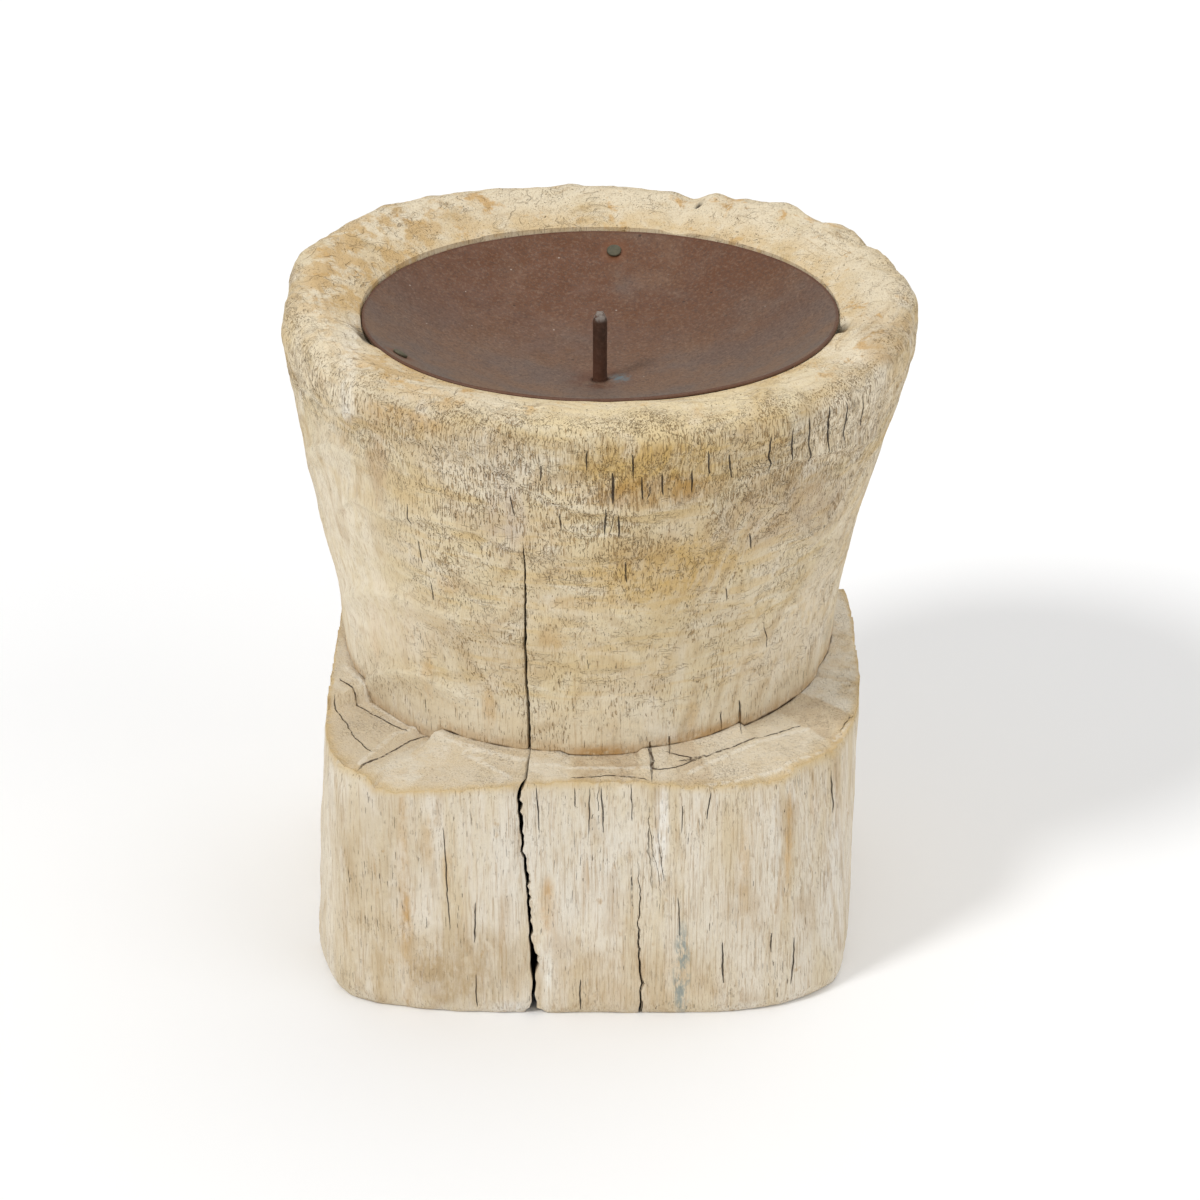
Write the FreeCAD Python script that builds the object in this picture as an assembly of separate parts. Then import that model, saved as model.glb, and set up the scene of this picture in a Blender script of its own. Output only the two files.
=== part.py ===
import FreeCAD, Part
import math
import os

# Pricket candle stand: an old hand-carved wooden mortar with a dished iron plate in its mouth, a wire
# nail standing point up through the plate, and three flat-headed nails that hold the plate down.
#
# Millimetres, +Z up. The origin is on the floor, straight under the spike. -Y is the front, where the
# long crack runs. Azimuths are in degrees from +X towards +Y, so 90 is the back and 270 the front.

Vector = FreeCAD.Vector
ACROSS = Vector(1, 0, 0)
UP = Vector(0, 0, 1)
ORIGIN = Vector(0, 0, 0)
TURN = 360.0

# One overrun for every cut that has to pass through a face
OVERRUN = 6.0

# Wooden block: the squarish base
LEDGE_HEIGHT = 88.0
BASE_LEFT = 98.0
BASE_RIGHT = 86.0
BASE_FRONT = 97.0
BASE_BACK = 88.0
LEDGE_LEFT = 91.5
LEDGE_RIGHT = 88.5
LEDGE_FRONT = 97.0
LEDGE_BACK = 89.0
BASE_ARRIS_RISE = 5.0
BASE_ARRIS_INSET = 2.5
LEDGE_CARVE = 6.0

# Wooden block: the round cup
NECK_RADIUS = 84.0
NECK_SHIFT_X = -4.0
NECK_SHIFT_Y = 2.0
CUP_RISE = 131.0
LIP_RADIUS = 104.5
LIP_SHIFT_X = -0.5
LIP_SHIFT_Y = 3.0
LIP_SLANT = 5.5
LIP_SLANT_AZIMUTH = 110.0
LIP_WAVE = 1.2
LIP_WIDTH = 9.5
LIP_DROP = 7.5
HOLLOW_DEPTH = 101.0
HOLLOW_FLOOR_RADIUS = 28.0

# Wear in the rim and the long drying crack
NOTCH_RADIUS = 7.0
NOTCH_DEPTH = 2.2
NOTCH_AZIMUTH = 71.0
CRACK_HEIGHT = 170.0
CRACK_DEPTH = 46.0
CRACK_WIDTH = 2.6
CRACK_X = -23.5
CRACK_WANDER = 2.2
CRACK_FOOT_WIDTH = 9.0
CRACK_FOOT_RISE = 8.0
CRACK_FOOT_DEPTH = 15.0

# Dished iron plate, the width of the wooden rim round it, and how far the lip's crest stands above it
RIM_BAND = 26.0
RIM_DROP = 5.3
DISH_DEPTH = 25.0
SHEET_THICKNESS = 1.2
SEAT_BAND = 16.0
SEAT_CLEARANCE = 0.2
RIM_GAP = 0.8
SLOPE_END_RISE = 3.1

# Spike: a wire nail with its head under the plate
SPIKE_RADIUS = 2.4
SPIKE_RISE = 24.0
SPIKE_POINT_LENGTH = 2.8
SPIKE_TIP_HALF_WIDTH = 0.9
SPIKE_HEAD_RADIUS = 5.0
SPIKE_HEAD_THICKNESS = 2.2
SPIKE_HOLE_CLEARANCE = 0.3
SPIKE_NECK_FLARE = 0.2
SPIKE_NECK_RISE = 0.3
WELD_WIDTH = 3.0
WELD_FOOT = 0.6
SMALL_GAP = 0.05

# Flat-headed nails with square tapering shanks, near the rim of the plate
NAIL_INSET = 7.5
NAIL_HEAD_RADIUS = 2.5
NAIL_HEAD_THICKNESS = 0.9
NAIL_HEAD_EDGE = 0.3
NAIL_SHANK_HALF_WIDTH = 1.2
NAIL_TIP_HALF_WIDTH = 0.3
NAIL_LENGTH = 22.0
NAILS = {"nail_back": 86.0, "nail_front_left": 204.0, "nail_front_right": 306.0}

# Sizes that follow from the driving ones
CREST_HEIGHT = LEDGE_HEIGHT + CUP_RISE
HOLLOW_FLOOR_HEIGHT = CREST_HEIGHT - HOLLOW_DEPTH
DISH_RADIUS = LIP_RADIUS - RIM_BAND
DISH_RIM_HEIGHT = CREST_HEIGHT - RIM_DROP
DISH_CURVE_RADIUS = (DISH_RADIUS**2 + DISH_DEPTH**2) / (2 * DISH_DEPTH)
DISH_CURVE_CENTRE = Vector(0, 0, DISH_RIM_HEIGHT - DISH_DEPTH + DISH_CURVE_RADIUS)
SHEET_OUTSIDE_RADIUS = DISH_CURVE_RADIUS + SHEET_THICKNESS
SEAT_RADIUS = DISH_RADIUS + RIM_GAP

# Points round every horizontal outline of the wood, and corners of the weld bead and the square shanks
OUTLINE_POINTS = 32
WELD_POINTS = 12
SQUARE_POINTS = 4

# Bands up the sides of the base
BASE_BANDS = 5

# Waves of height round the lip, with one crest at the front
LIP_WAVE_COUNT = 3

# Uneven roundness of the cup: waves round it, share of the radius, azimuth of a crest
LOBE_SHARES = ((2, 0.005, 10.0), (3, 0.016, 30.0), (5, 0.003, 75.0))

# Outside of the cup from below the ledge to the lip: share of the rise, share of the flare, share of
# the sideways shift from the neck's centre to the lip's
CUP_SHARES = (
    (-0.10, 0.00, 0.00),
    (0.12, 0.03, 0.00),
    (0.27, 0.16, 0.00),
    (0.42, 0.36, 0.10),
    (0.55, 0.545, 0.25),
    (0.68, 0.74, 0.60),
    (0.82, 0.92, 1.00),
)

# Over the lip, from the outside to the crest and in: share of the lip's width, share of its drop
LIP_SHARES = ((0.0, 1.0), (0.11, 0.48), (0.38, 0.12), (1.05, 0.0))

# Slope inside the lip: shares of the way from its last outline to its end over the plate
SLOPE_SHARES = (0.5, 1.0)

# Share of the lip's slant and waves that is lost where the lip has dropped away in full
LIP_CALM_SHARE = 0.4

# Hollow under the plate: share from the seat band's inner edge to the floor's rim, share of the depth
HOLLOW_SHARES = ((0.0, 0.0), (0.32, 0.60), (1.0, 1.0))

# Chiselled ledge, facet by facet: first azimuth, last azimuth, share of the carving depth taken off
# beside the neck, the same at the outer edge
LEDGE_SHARES = (
    (340.0, 385.0, 0.20, 0.45),
    (25.0, 65.0, 0.50, 1.00),
    (65.0, 115.0, 0.35, 0.80),
    (115.0, 160.0, 0.45, 1.05),
    (160.0, 206.0, 0.20, 0.45),
    (206.0, 231.0, 1.20, 1.10),
    (231.0, 262.0, 0.45, 1.00),
    (262.0, 279.0, 0.55, 0.90),
    (279.0, 306.0, 0.45, 1.10),
    (306.0, 340.0, 0.65, 0.95),
)

# How far each ledge cut reaches in and out, as shares of the ledge's widest half width
LEDGE_REACH_SHARES = (0.5, 2.0)

# Corner fullness of the base, from back right anticlockwise: at the floor, at the ledge
CORNER_POWERS = ((4.0, 3.4), (4.4, 4.4), (4.7, 6.0), (4.6, 3.2))

# Arris at the floor: shares of its rise, shares of its inset
ARRIS_SHARES = ((0.0, 1.0), (0.25, 0.4), (1.0, 0.0))

# The crack from its top down: share of its height, share of its wander, share of its width
CRACK_SHARES = (
    (1.0, -0.95, 0.25),
    (0.765, -0.3, 0.4),
    (0.5, 0.15, 0.5),
    (0.45, -0.9, 0.6),
    (0.22, -0.2, 0.8),
    (-0.05, 1.0, 1.0),
)


def azimuth_vector(azimuth, radius, height):
    """Point at an azimuth in degrees, a distance from the upright axis and a height."""
    angle = math.radians(azimuth)
    return Vector(radius * math.cos(angle), radius * math.sin(angle), height)


def between(first, last, share):
    """Value a share of the way from first to last."""
    return first + (last - first) * share


def smooth_loft(outlines):
    """Solid in bands through closed outlines, each given as a list of points on a smooth curve."""
    wires = []
    for points in outlines:
        curve = Part.BSplineCurve()
        curve.interpolate(Points=points, PeriodicFlag=True)
        wires.append(Part.Wire(curve.toShape()))
    return Part.makeLoft(wires, True, True)


def polygon_face(corners):
    """Flat face inside straight edges."""
    return Part.Face(Part.makePolygon(corners + corners[:1]))


def flat_sided(corner_count, low_half, low, high_half, high):
    """Solid about the Z axis between two level polygons with flats at the given half widths."""
    step = TURN / corner_count
    reach = 1.0 / math.cos(math.radians(step / 2))
    azimuths = [step * (corner + 0.5) for corner in range(corner_count)]
    floor = [azimuth_vector(azimuth, low_half * reach, low) for azimuth in azimuths]
    roof = [azimuth_vector(azimuth, high_half * reach, high) for azimuth in azimuths]
    sides = [[floor[side - 1], floor[side], roof[side], roof[side - 1]] for side in range(corner_count)]
    return Part.Solid(Part.Shell([polygon_face(corners) for corners in [floor, roof] + sides]))


def outline_azimuths():
    """Evenly spaced azimuths of an outline's points, from the back so that no seam faces front."""
    return [TURN / 4 + TURN * step / OUTLINE_POINTS for step in range(OUTLINE_POINTS)]


def base_outline(height, inset):
    """Squarish outline of the base at a height, drawn in by an inset. Its points crowd at the corners."""
    rise = height / LEDGE_HEIGHT
    right = between(BASE_RIGHT, LEDGE_RIGHT, rise) - inset
    left = between(BASE_LEFT, LEDGE_LEFT, rise) - inset
    front = between(BASE_FRONT, LEDGE_FRONT, rise) - inset
    back = between(BASE_BACK, LEDGE_BACK, rise) - inset
    points = []
    for azimuth in outline_azimuths():
        cosine = math.cos(math.radians(azimuth))
        sine = math.sin(math.radians(azimuth))
        corner = int((azimuth % TURN) // (TURN / 4))
        power = between(*CORNER_POWERS[corner], rise)
        across = abs(cosine) ** (2 / power) * (right if cosine > 0 else -left)
        along = abs(sine) ** (2 / power) * (back if sine > 0 else -front)
        points.append(Vector(across, along, height))
    return points


def base_block():
    """Base with a rounded arris at the floor, a little higher than the ledge will be."""
    outlines = []
    for rise, inset in ARRIS_SHARES:
        outlines.append(base_outline(BASE_ARRIS_RISE * rise, BASE_ARRIS_INSET * inset))
    top = LEDGE_HEIGHT + LEDGE_CARVE
    for band in range(BASE_BANDS):
        outlines.append(base_outline(between(BASE_ARRIS_RISE, top, (band + 1) / BASE_BANDS), 0.0))
    return smooth_loft(outlines)


def ledge_cutter(first, last, inner_share, outer_share):
    """Block of air over one chiselled facet of the ledge. Its floor slopes along the middle line."""
    top = LEDGE_HEIGHT + LEDGE_CARVE
    inner = NECK_RADIUS
    outer = max(LEDGE_LEFT, LEDGE_FRONT)
    slope = (inner_share - outer_share) * LEDGE_CARVE / (outer - inner)
    near, far = LEDGE_REACH_SHARES
    corners = []
    for azimuth, reach in ((first, near), (first, far), (last, far), (last, near)):
        distance = reach * outer
        height = top - LEDGE_CARVE * inner_share + (distance - inner) * slope
        half_angle = math.radians(last - first) / 2
        corners.append(azimuth_vector(azimuth, distance / math.cos(half_angle), height))
    return polygon_face(corners).extrude(UP * LEDGE_HEIGHT)


def lobes(azimuth):
    """Factor by which the hand-carved cup is wider or narrower at an azimuth."""
    factor = 1.0
    for count, share, crest in LOBE_SHARES:
        factor += share * math.cos(count * math.radians(azimuth - crest))
    return factor


def cup_outline(radius, height, shift_share, slant_share=0.0):
    """Nearly round outline of the cup. The shift moves from the neck's centre to the lip's."""
    shift_x = between(NECK_SHIFT_X, LIP_SHIFT_X, shift_share)
    shift_y = between(NECK_SHIFT_Y, LIP_SHIFT_Y, shift_share)
    points = []
    for azimuth in outline_azimuths():
        slant = LIP_SLANT * math.cos(math.radians(azimuth - LIP_SLANT_AZIMUTH))
        wave = LIP_WAVE * math.cos(math.radians(LIP_WAVE_COUNT * azimuth - TURN / 4))
        point = azimuth_vector(azimuth, radius * lobes(azimuth), height + slant_share * (slant + wave))
        points.append(point + Vector(shift_x, shift_y, 0))
    return points


def sheet_underside(radius):
    """Height of the plate's underside at a radius."""
    return DISH_CURVE_CENTRE.z - math.sqrt(SHEET_OUTSIDE_RADIUS**2 - radius**2)


def cup_body():
    """Cup without its hollow: up the outside, over the lip and down into the mouth."""
    outlines = []
    for rise, flare, shift in CUP_SHARES:
        radius = between(NECK_RADIUS, LIP_RADIUS, flare)
        outlines.append(cup_outline(radius, LEDGE_HEIGHT + CUP_RISE * rise, shift))
    for width, drop in LIP_SHARES:
        radius = LIP_RADIUS - LIP_WIDTH * width
        height = CREST_HEIGHT - LIP_DROP * drop
        outlines.append(cup_outline(radius, height, 1.0, 1.0 - LIP_CALM_SHARE * drop))
    crest = outlines[-1]
    end_radius = SEAT_RADIUS - OVERRUN
    end_height = sheet_underside(end_radius) + SLOPE_END_RISE
    slope_end = [azimuth_vector(azimuth, end_radius, end_height) for azimuth in outline_azimuths()]
    for share in SLOPE_SHARES:
        outlines.append([between(start, end, share) for start, end in zip(crest, slope_end)])
    return smooth_loft(outlines)


def dish_ball(radius):
    """Ball about the centre of the plate's curve. Its poles lie level, well away from the plate."""
    return Part.makeSphere(radius, DISH_CURVE_CENTRE, ACROSS)


def bed_cutter():
    """Space of the plate and its clearance, so that the wood beds under the plate's outer band."""
    column = Part.makeCylinder(SEAT_RADIUS, DISH_CURVE_CENTRE.z, ORIGIN, UP)
    return dish_ball(SHEET_OUTSIDE_RADIUS + SEAT_CLEARANCE).common(column)


def hollow_cutter():
    """The old mortar's hollow, which stays open under the plate."""
    band_edge = DISH_RADIUS - SEAT_BAND
    top = sheet_underside(band_edge)
    corners = [Vector(0, 0, DISH_RIM_HEIGHT), Vector(band_edge, 0, DISH_RIM_HEIGHT)]
    for inward, fall in HOLLOW_SHARES:
        radius = between(band_edge, HOLLOW_FLOOR_RADIUS, inward)
        corners.append(Vector(radius, 0, between(top, HOLLOW_FLOOR_HEIGHT, fall)))
    corners.append(Vector(0, 0, HOLLOW_FLOOR_HEIGHT))
    return polygon_face(corners).revolve(ORIGIN, UP, TURN)


def notch_cutter():
    """Round bar across the lip that leaves a worn notch at the back of the rim."""
    height = CREST_HEIGHT + LIP_SLANT - NOTCH_DEPTH + NOTCH_RADIUS
    start = azimuth_vector(NOTCH_AZIMUTH, SEAT_RADIUS, height)
    direction = azimuth_vector(NOTCH_AZIMUTH, 1.0, 0)
    return Part.makeCylinder(NOTCH_RADIUS, LIP_RADIUS, start, direction)


def crack_cutter():
    """Long wedge of air that narrows into the wood and towards its top."""
    face = LIP_RADIUS + OVERRUN
    sections = []
    for rise, wander, width in CRACK_SHARES:
        middle = CRACK_X + CRACK_WANDER * wander
        half = CRACK_WIDTH * width / 2
        height = CRACK_HEIGHT * rise
        left = Vector(middle - half, -face, height)
        right = Vector(middle + half, -face, height)
        root = Vector(middle, CRACK_DEPTH - face, height)
        sections.append(Part.makePolygon([left, right, root, left]))
    return Part.makeLoft(sections, True, True)


def crack_foot_cutter():
    """Three-cornered gap where the crack has crumbled open at the floor."""
    middle = CRACK_X + CRACK_WANDER * CRACK_SHARES[-1][1]
    half = CRACK_FOOT_WIDTH / 2
    front = -BASE_FRONT - OVERRUN
    left = Vector(middle - half, front, 0)
    right = Vector(middle + half, front, 0)
    peak = Vector(middle, front, CRACK_FOOT_RISE)
    return polygon_face([left, right, peak]).extrude(Vector(0, CRACK_FOOT_DEPTH + OVERRUN, 0))


def nail_place(azimuth):
    """Placement that seats a nail drawn along +Z square on the plate, near its rim."""
    radius = DISH_RADIUS - NAIL_INSET
    height = DISH_CURVE_CENTRE.z - math.sqrt(DISH_CURVE_RADIUS**2 - radius**2)
    point = azimuth_vector(azimuth, radius, height)
    inward = (DISH_CURVE_CENTRE - point).normalize()
    return FreeCAD.Placement(point, FreeCAD.Rotation(UP, inward))


def nail(azimuth):
    """Flat-headed nail with a worn head edge and a square tapering shank."""
    lift = SMALL_GAP + NAIL_HEAD_RADIUS**2 / (2 * DISH_CURVE_RADIUS)
    middle = lift + NAIL_HEAD_THICKNESS / 2
    head = Part.makeCylinder(NAIL_HEAD_RADIUS, NAIL_HEAD_THICKNESS, Vector(0, 0, lift), UP)
    top_edges = [edge for edge in head.Edges if edge.CenterOfMass.z > middle and edge.Closed]
    head = head.makeChamfer(NAIL_HEAD_EDGE, top_edges)
    shank = flat_sided(SQUARE_POINTS, NAIL_TIP_HALF_WIDTH, -NAIL_LENGTH, NAIL_SHANK_HALF_WIDTH, middle)
    shape = head.fuse(shank)
    shape.Placement = nail_place(azimuth)
    return shape


def nail_hole(azimuth):
    """Hole for one nail, with a hair of clearance, through the plate and into the wood."""
    foot_half = NAIL_TIP_HALF_WIDTH + SMALL_GAP
    head_half = NAIL_SHANK_HALF_WIDTH + SMALL_GAP
    hole = flat_sided(SQUARE_POINTS, foot_half, -NAIL_LENGTH - SMALL_GAP, head_half, SHEET_THICKNESS)
    hole.Placement = nail_place(azimuth)
    return hole


def wood_block():
    """The one-piece carved mortar."""
    facets = [ledge_cutter(*facet) for facet in LEDGE_SHARES]
    base = base_block().cut(facets)
    cuts = [bed_cutter(), hollow_cutter(), notch_cutter(), crack_cutter(), crack_foot_cutter()]
    cuts += [nail_hole(azimuth) for azimuth in NAILS.values()]
    return base.fuse(cup_body()).cut(cuts)


def candle_dish():
    """Dished sheet of even thickness, its rim cut square to the sheet."""
    sheet = dish_ball(SHEET_OUTSIDE_RADIUS).cut(dish_ball(DISH_CURVE_RADIUS))
    reach = SHEET_OUTSIDE_RADIUS + OVERRUN
    spread = DISH_RADIUS / (DISH_CURVE_RADIUS - DISH_DEPTH)
    rim_cone = Part.makeCone(0, reach * spread, reach, DISH_CURVE_CENTRE, -UP)
    hole = Part.makeCylinder(SPIKE_RADIUS + SPIKE_HOLE_CLEARANCE, DISH_RIM_HEIGHT, ORIGIN, UP)
    nail_holes = [nail_hole(azimuth) for azimuth in NAILS.values()]
    return sheet.common(rim_cone).cut([hole] + nail_holes)


def spike_levels():
    """Heights of the spike's head top, the end of its neck, its shoulder and its tip."""
    dish_floor = DISH_RIM_HEIGHT - DISH_DEPTH
    head_top = dish_floor - SHEET_THICKNESS - SMALL_GAP
    tip = dish_floor + SPIKE_RISE
    return head_top, dish_floor + SPIKE_NECK_RISE, tip - SPIKE_POINT_LENGTH, tip


def pricket_spike():
    """Wire nail, head down, with a neck that thickens towards the head and a blunt four-sided point."""
    head_top, neck_end, shoulder, tip = spike_levels()
    foot = head_top - SPIKE_HEAD_THICKNESS
    outline = [
        Vector(0, 0, foot),
        Vector(SPIKE_HEAD_RADIUS, 0, foot),
        Vector(SPIKE_HEAD_RADIUS, 0, head_top),
        Vector(SPIKE_RADIUS + SPIKE_NECK_FLARE, 0, head_top),
        Vector(SPIKE_RADIUS, 0, neck_end),
        Vector(SPIKE_RADIUS, 0, tip),
        Vector(0, 0, tip),
    ]
    wire = polygon_face(outline).revolve(ORIGIN, UP, TURN)
    column = Part.makeCylinder(SPIKE_HEAD_RADIUS, shoulder - foot, Vector(0, 0, foot), UP)
    point = flat_sided(SQUARE_POINTS, SPIKE_RADIUS, shoulder, SPIKE_TIP_HALF_WIDTH, tip)
    return wire.common(column.fuse(point)).removeSplitter()


def spike_weld():
    """Lumpy weld bead, drawn with flats, that joins the spike's head to the plate's underside."""
    head_top = spike_levels()[0]
    inner = SPIKE_HEAD_RADIUS + SMALL_GAP
    low = head_top - SPIKE_HEAD_THICKNESS
    high = sheet_underside(inner) - SMALL_GAP
    bead = flat_sided(WELD_POINTS, inner + WELD_FOOT, low, inner + WELD_WIDTH, high)
    bore = Part.makeCylinder(inner, DISH_RIM_HEIGHT, ORIGIN, UP)
    return bead.cut(bore)


def main():
    """Builds every piece and writes it as one STEP file."""
    shapes = {
        "wood_block": wood_block(),
        "candle_dish": candle_dish(),
        "pricket_spike": pricket_spike(),
        "spike_weld": spike_weld(),
    }
    for name, azimuth in NAILS.items():
        shapes[name] = nail(azimuth)
    os.makedirs("parts", exist_ok=True)
    for name, shape in shapes.items():
        shape.exportStep(f"parts/{name}.step")
        print(f"{name}: {len(shape.Solids)} solid, valid {shape.isValid()}, {shape.Volume:.0f} mm3")


main()
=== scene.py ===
import functools
import math

import bpy
import numpy as np
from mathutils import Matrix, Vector, noise

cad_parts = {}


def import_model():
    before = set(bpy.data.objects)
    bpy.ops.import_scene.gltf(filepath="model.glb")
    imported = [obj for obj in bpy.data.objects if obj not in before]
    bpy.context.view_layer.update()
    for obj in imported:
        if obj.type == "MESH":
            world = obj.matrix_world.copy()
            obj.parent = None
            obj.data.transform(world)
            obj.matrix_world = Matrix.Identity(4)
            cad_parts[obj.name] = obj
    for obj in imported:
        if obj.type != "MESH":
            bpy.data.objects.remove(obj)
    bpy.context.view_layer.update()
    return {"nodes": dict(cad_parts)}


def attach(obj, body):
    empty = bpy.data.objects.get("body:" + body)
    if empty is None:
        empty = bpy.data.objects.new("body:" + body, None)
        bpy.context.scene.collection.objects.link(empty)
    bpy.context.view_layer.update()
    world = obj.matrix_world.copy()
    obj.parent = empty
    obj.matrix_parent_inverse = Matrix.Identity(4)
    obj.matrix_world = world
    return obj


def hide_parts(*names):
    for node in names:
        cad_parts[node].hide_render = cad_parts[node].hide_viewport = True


# Pricket candle stand: bleached carved mortar, rusted dish, wire spike, weld and three nails.
# Shapes are worked out in millimetres and turned into metres when a mesh is made.
MM = 0.001
TURN = 360

# Squarish base: half widths at the floor and at the ledge (right, left, front, back)
LEDGE_HEIGHT = 88
BASE_FLOOR_HALVES = (86, 98, 97, 88)
BASE_LEDGE_HALVES = (88.5, 91.5, 97, 89)
CORNER_POWERS = ((4, 3.4), (4.4, 4.4), (4.7, 6), (4.6, 3.2))
ARRIS = ((0, 2.5), (0.5, 1.55), (1.25, 1), (2.5, 0.5), (5, 0))
ARRIS_TOP = ARRIS[-1][0]

# Round cup: neck, lip and the sideways shifts of their centres
NECK_RADIUS = 84
NECK_SHIFT = (-4, 2)
CUP_RISE = 131
CREST_HEIGHT = 219
LIP_RADIUS = 104.5
LIP_SHIFT = (-0.5, 3)
LIP_SLANT = 5.5
LIP_SLANT_AZIMUTH = 110
LIP_WAVE = 1.2
LIP_WIDTH = 9.5
LIP_DROP = 7.5
LIP_CALM = 0.4
LOBES = ((2, 0.005, 10), (3, 0.016, 30), (5, 0.003, 75))
CUP_CURVE = (
    (-0.1, 0, 0), (0.12, 0.03, 0), (0.27, 0.16, 0), (0.42, 0.36, 0.1), (0.55, 0.545, 0.25),
    (0.68, 0.74, 0.6), (0.82, 0.92, 1),
)
LIP_CURVE = ((0, 1), (0.11, 0.48), (0.38, 0.12), (1.05, 0))

# The lip's curve starts this far below its widest place
LIP_BAND = 16

# Chiselled ledge: its top, depth and outer reach
LEDGE_TOP = 94
LEDGE_CARVE = 6
LEDGE_FAR = 97

# Usual height of the crease round the cup's foot, and the foot's level in the cracks' tables
CREASE_HEIGHT = 91
CUP_FOOT = 92

# The ledge's facets: first and last azimuth, depth shares beside the neck and at the outer edge
FACETS = (
    (340, 385, 0.2, 0.45), (25, 65, 0.5, 1), (65, 115, 0.35, 0.8), (115, 160, 0.45, 1.05),
    (160, 206, 0.2, 0.45), (206, 231, 1.2, 1.1), (231, 262, 0.45, 1), (262, 279, 0.55, 0.9),
    (279, 306, 0.45, 1.1), (306, 340, 0.65, 0.95),
)

# Dished plate, its seat in the wood, the slope from the lip down to the seat and the hollow below
DISH_RADIUS = 78.5
DISH_CENTRE_HEIGHT = 324.445
DISH_CURVE_RADIUS = 135.745
SHEET = 1.2
SEAT_RADIUS = 79.3
SEAT_CLEARANCE = 0.2
SLOPE_OVERRUN = 6
SLOPE_END_RISE = 3.1
HOLLOW = ((62.5, 0), (51.5, 0.6), (28, 1))
HOLLOW_FLOOR = 118
DISH_HOLE = 2.7
NAIL_RADIUS = 71
NAIL_AZIMUTHS = {"nail_back": 86, "nail_front_left": 204, "nail_front_right": 306}

# Nails: radius, or half width of the square shank, and height over the plate
NAIL_SHANK = ((0.3, -22), (0.75, -11), (1.2, 0.3))
NAIL_HEAD = ((2.3, 0.12), (2.5, 0.3), (2.5, 0.75), (2.32, 0.95), (1.9, 1.04), (1.1, 1.12), (0.4, 1.14))

# Spike: radius and height of its head and point, the feet of shank and point, and the point's taper
WIRE_RADIUS = 2.4
SPIKE_HEAD = ((0, 185.25), (4.6, 185.25), (5, 185.6), (5, 187.2), (4.8, 187.45), (2.6, 187.45))
SPIKE_POINT = ((2.36, 210.3), (2.3, 210.9), (2.2, 211.5), (2.1, 212.1), (1.7, 212.6), (0, 212.7))
SHANK_HEIGHT = 189
POINT_HEIGHT = 209.9
POINT_TAPER = 1.5 / 2.8

# Open cracks: heights, places across the front, widths and depths, from the top down
MAIN_CRACK = (
    (172, -25, 0.1, 0), (168, -24.6, 0.5, 3), (158, -24, 0.65, 5), (153, -23.9, 0.8, 7),
    (134, -23.9, 1.05, 9), (114, -23.5, 1.2, 11), (97, -23, 1.3, 12), (91, -23.1, 1, 12),
    (87.5, -25.4, 1.3, 12), (84, -25.9, 1.1, 12), (80, -26, 1.2, 12), (73, -25.6, 1.2, 12),
    (66, -25.1, 0.8, 12), (61.5, -25, 0.9, 12), (60, -24.3, 0.8, 12), (52, -23.9, 1.2, 12),
    (44.7, -23.2, 1.1, 13), (34, -22.9, 1.15, 13), (28.5, -22.8, 1, 13), (25, -22.3, 1.3, 14),
    (22, -21.6, 2.6, 14), (18.5, -21.5, 2.7, 14), (16, -22.2, 1.2, 14), (9, -22, 1.15, 14),
    (5, -21.9, 1.5, 14), (2.6, -22, 2.6, 14), (0, -21.8, 8.4, 15),
)
SECOND_CRACK = (
    (60, 11.8, 0.15, 0), (50, 12.9, 0.25, 1.5), (40, 13, 0.45, 3), (30, 12.6, 0.55, 4), (18, 13.2, 0.7, 5),
    (8, 13.6, 0.8, 6), (0, 13.3, 1.1, 6),
)
UPPER_CRACK = (
    (78, 15.2, 0.1, 0), (74.5, 15.4, 0.3, 1), (67, 16.6, 0.3, 1), (58, 18.2, 0.2, 0.8),
    (50, 19.4, 0.25, 0.8), (43, 20.2, 0.1, 0),
)
CRACKS = (MAIN_CRACK, SECOND_CRACK, UPPER_CRACK)

# Azimuth near the main crack, for the neck's radius there
CRACK_AZIMUTH = 256

# Columns beside a crack: distance from its middle as half widths and millimetres, share of its depth
CRACK_COLUMNS = (
    (0, -4, 0), (-1, -1.1, 0), (-1, 0, 0.05), (-0.8, 0, 0.6), (0, 0, 1), (0.8, 0, 0.6), (1, 0, 0.05),
    (1, 1.1, 0), (0, 4, 0),
)

# Radius that turns millimetres beside a crack into degrees
REFERENCE_RADIUS = 95

# Look of the ledge between azimuths: brown share, white share. The white shares of 1.5 from 330 round to 25
# degrees are painted light, lightening the ledge where the cup shades it; the rest is worn look.
LEDGE_TINTS = (
    (180, 205, 0.1, 0.7), (206, 229, 0.3, 0.5), (229, 237, 0, 1), (237, 254, 0.15, 0.5), (255, 264, 0, 0.8),
    (264.5, 278.5, 0.65, 0.1), (279, 285, 0.1, 0.6), (285, 292, 0.5, 0.2), (292, 318, 0, 0.6),
    (318, 330, 0.5, 0.2), (330, 359, 0, 1.5), (1, 25, 0, 1.5),
)

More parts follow.
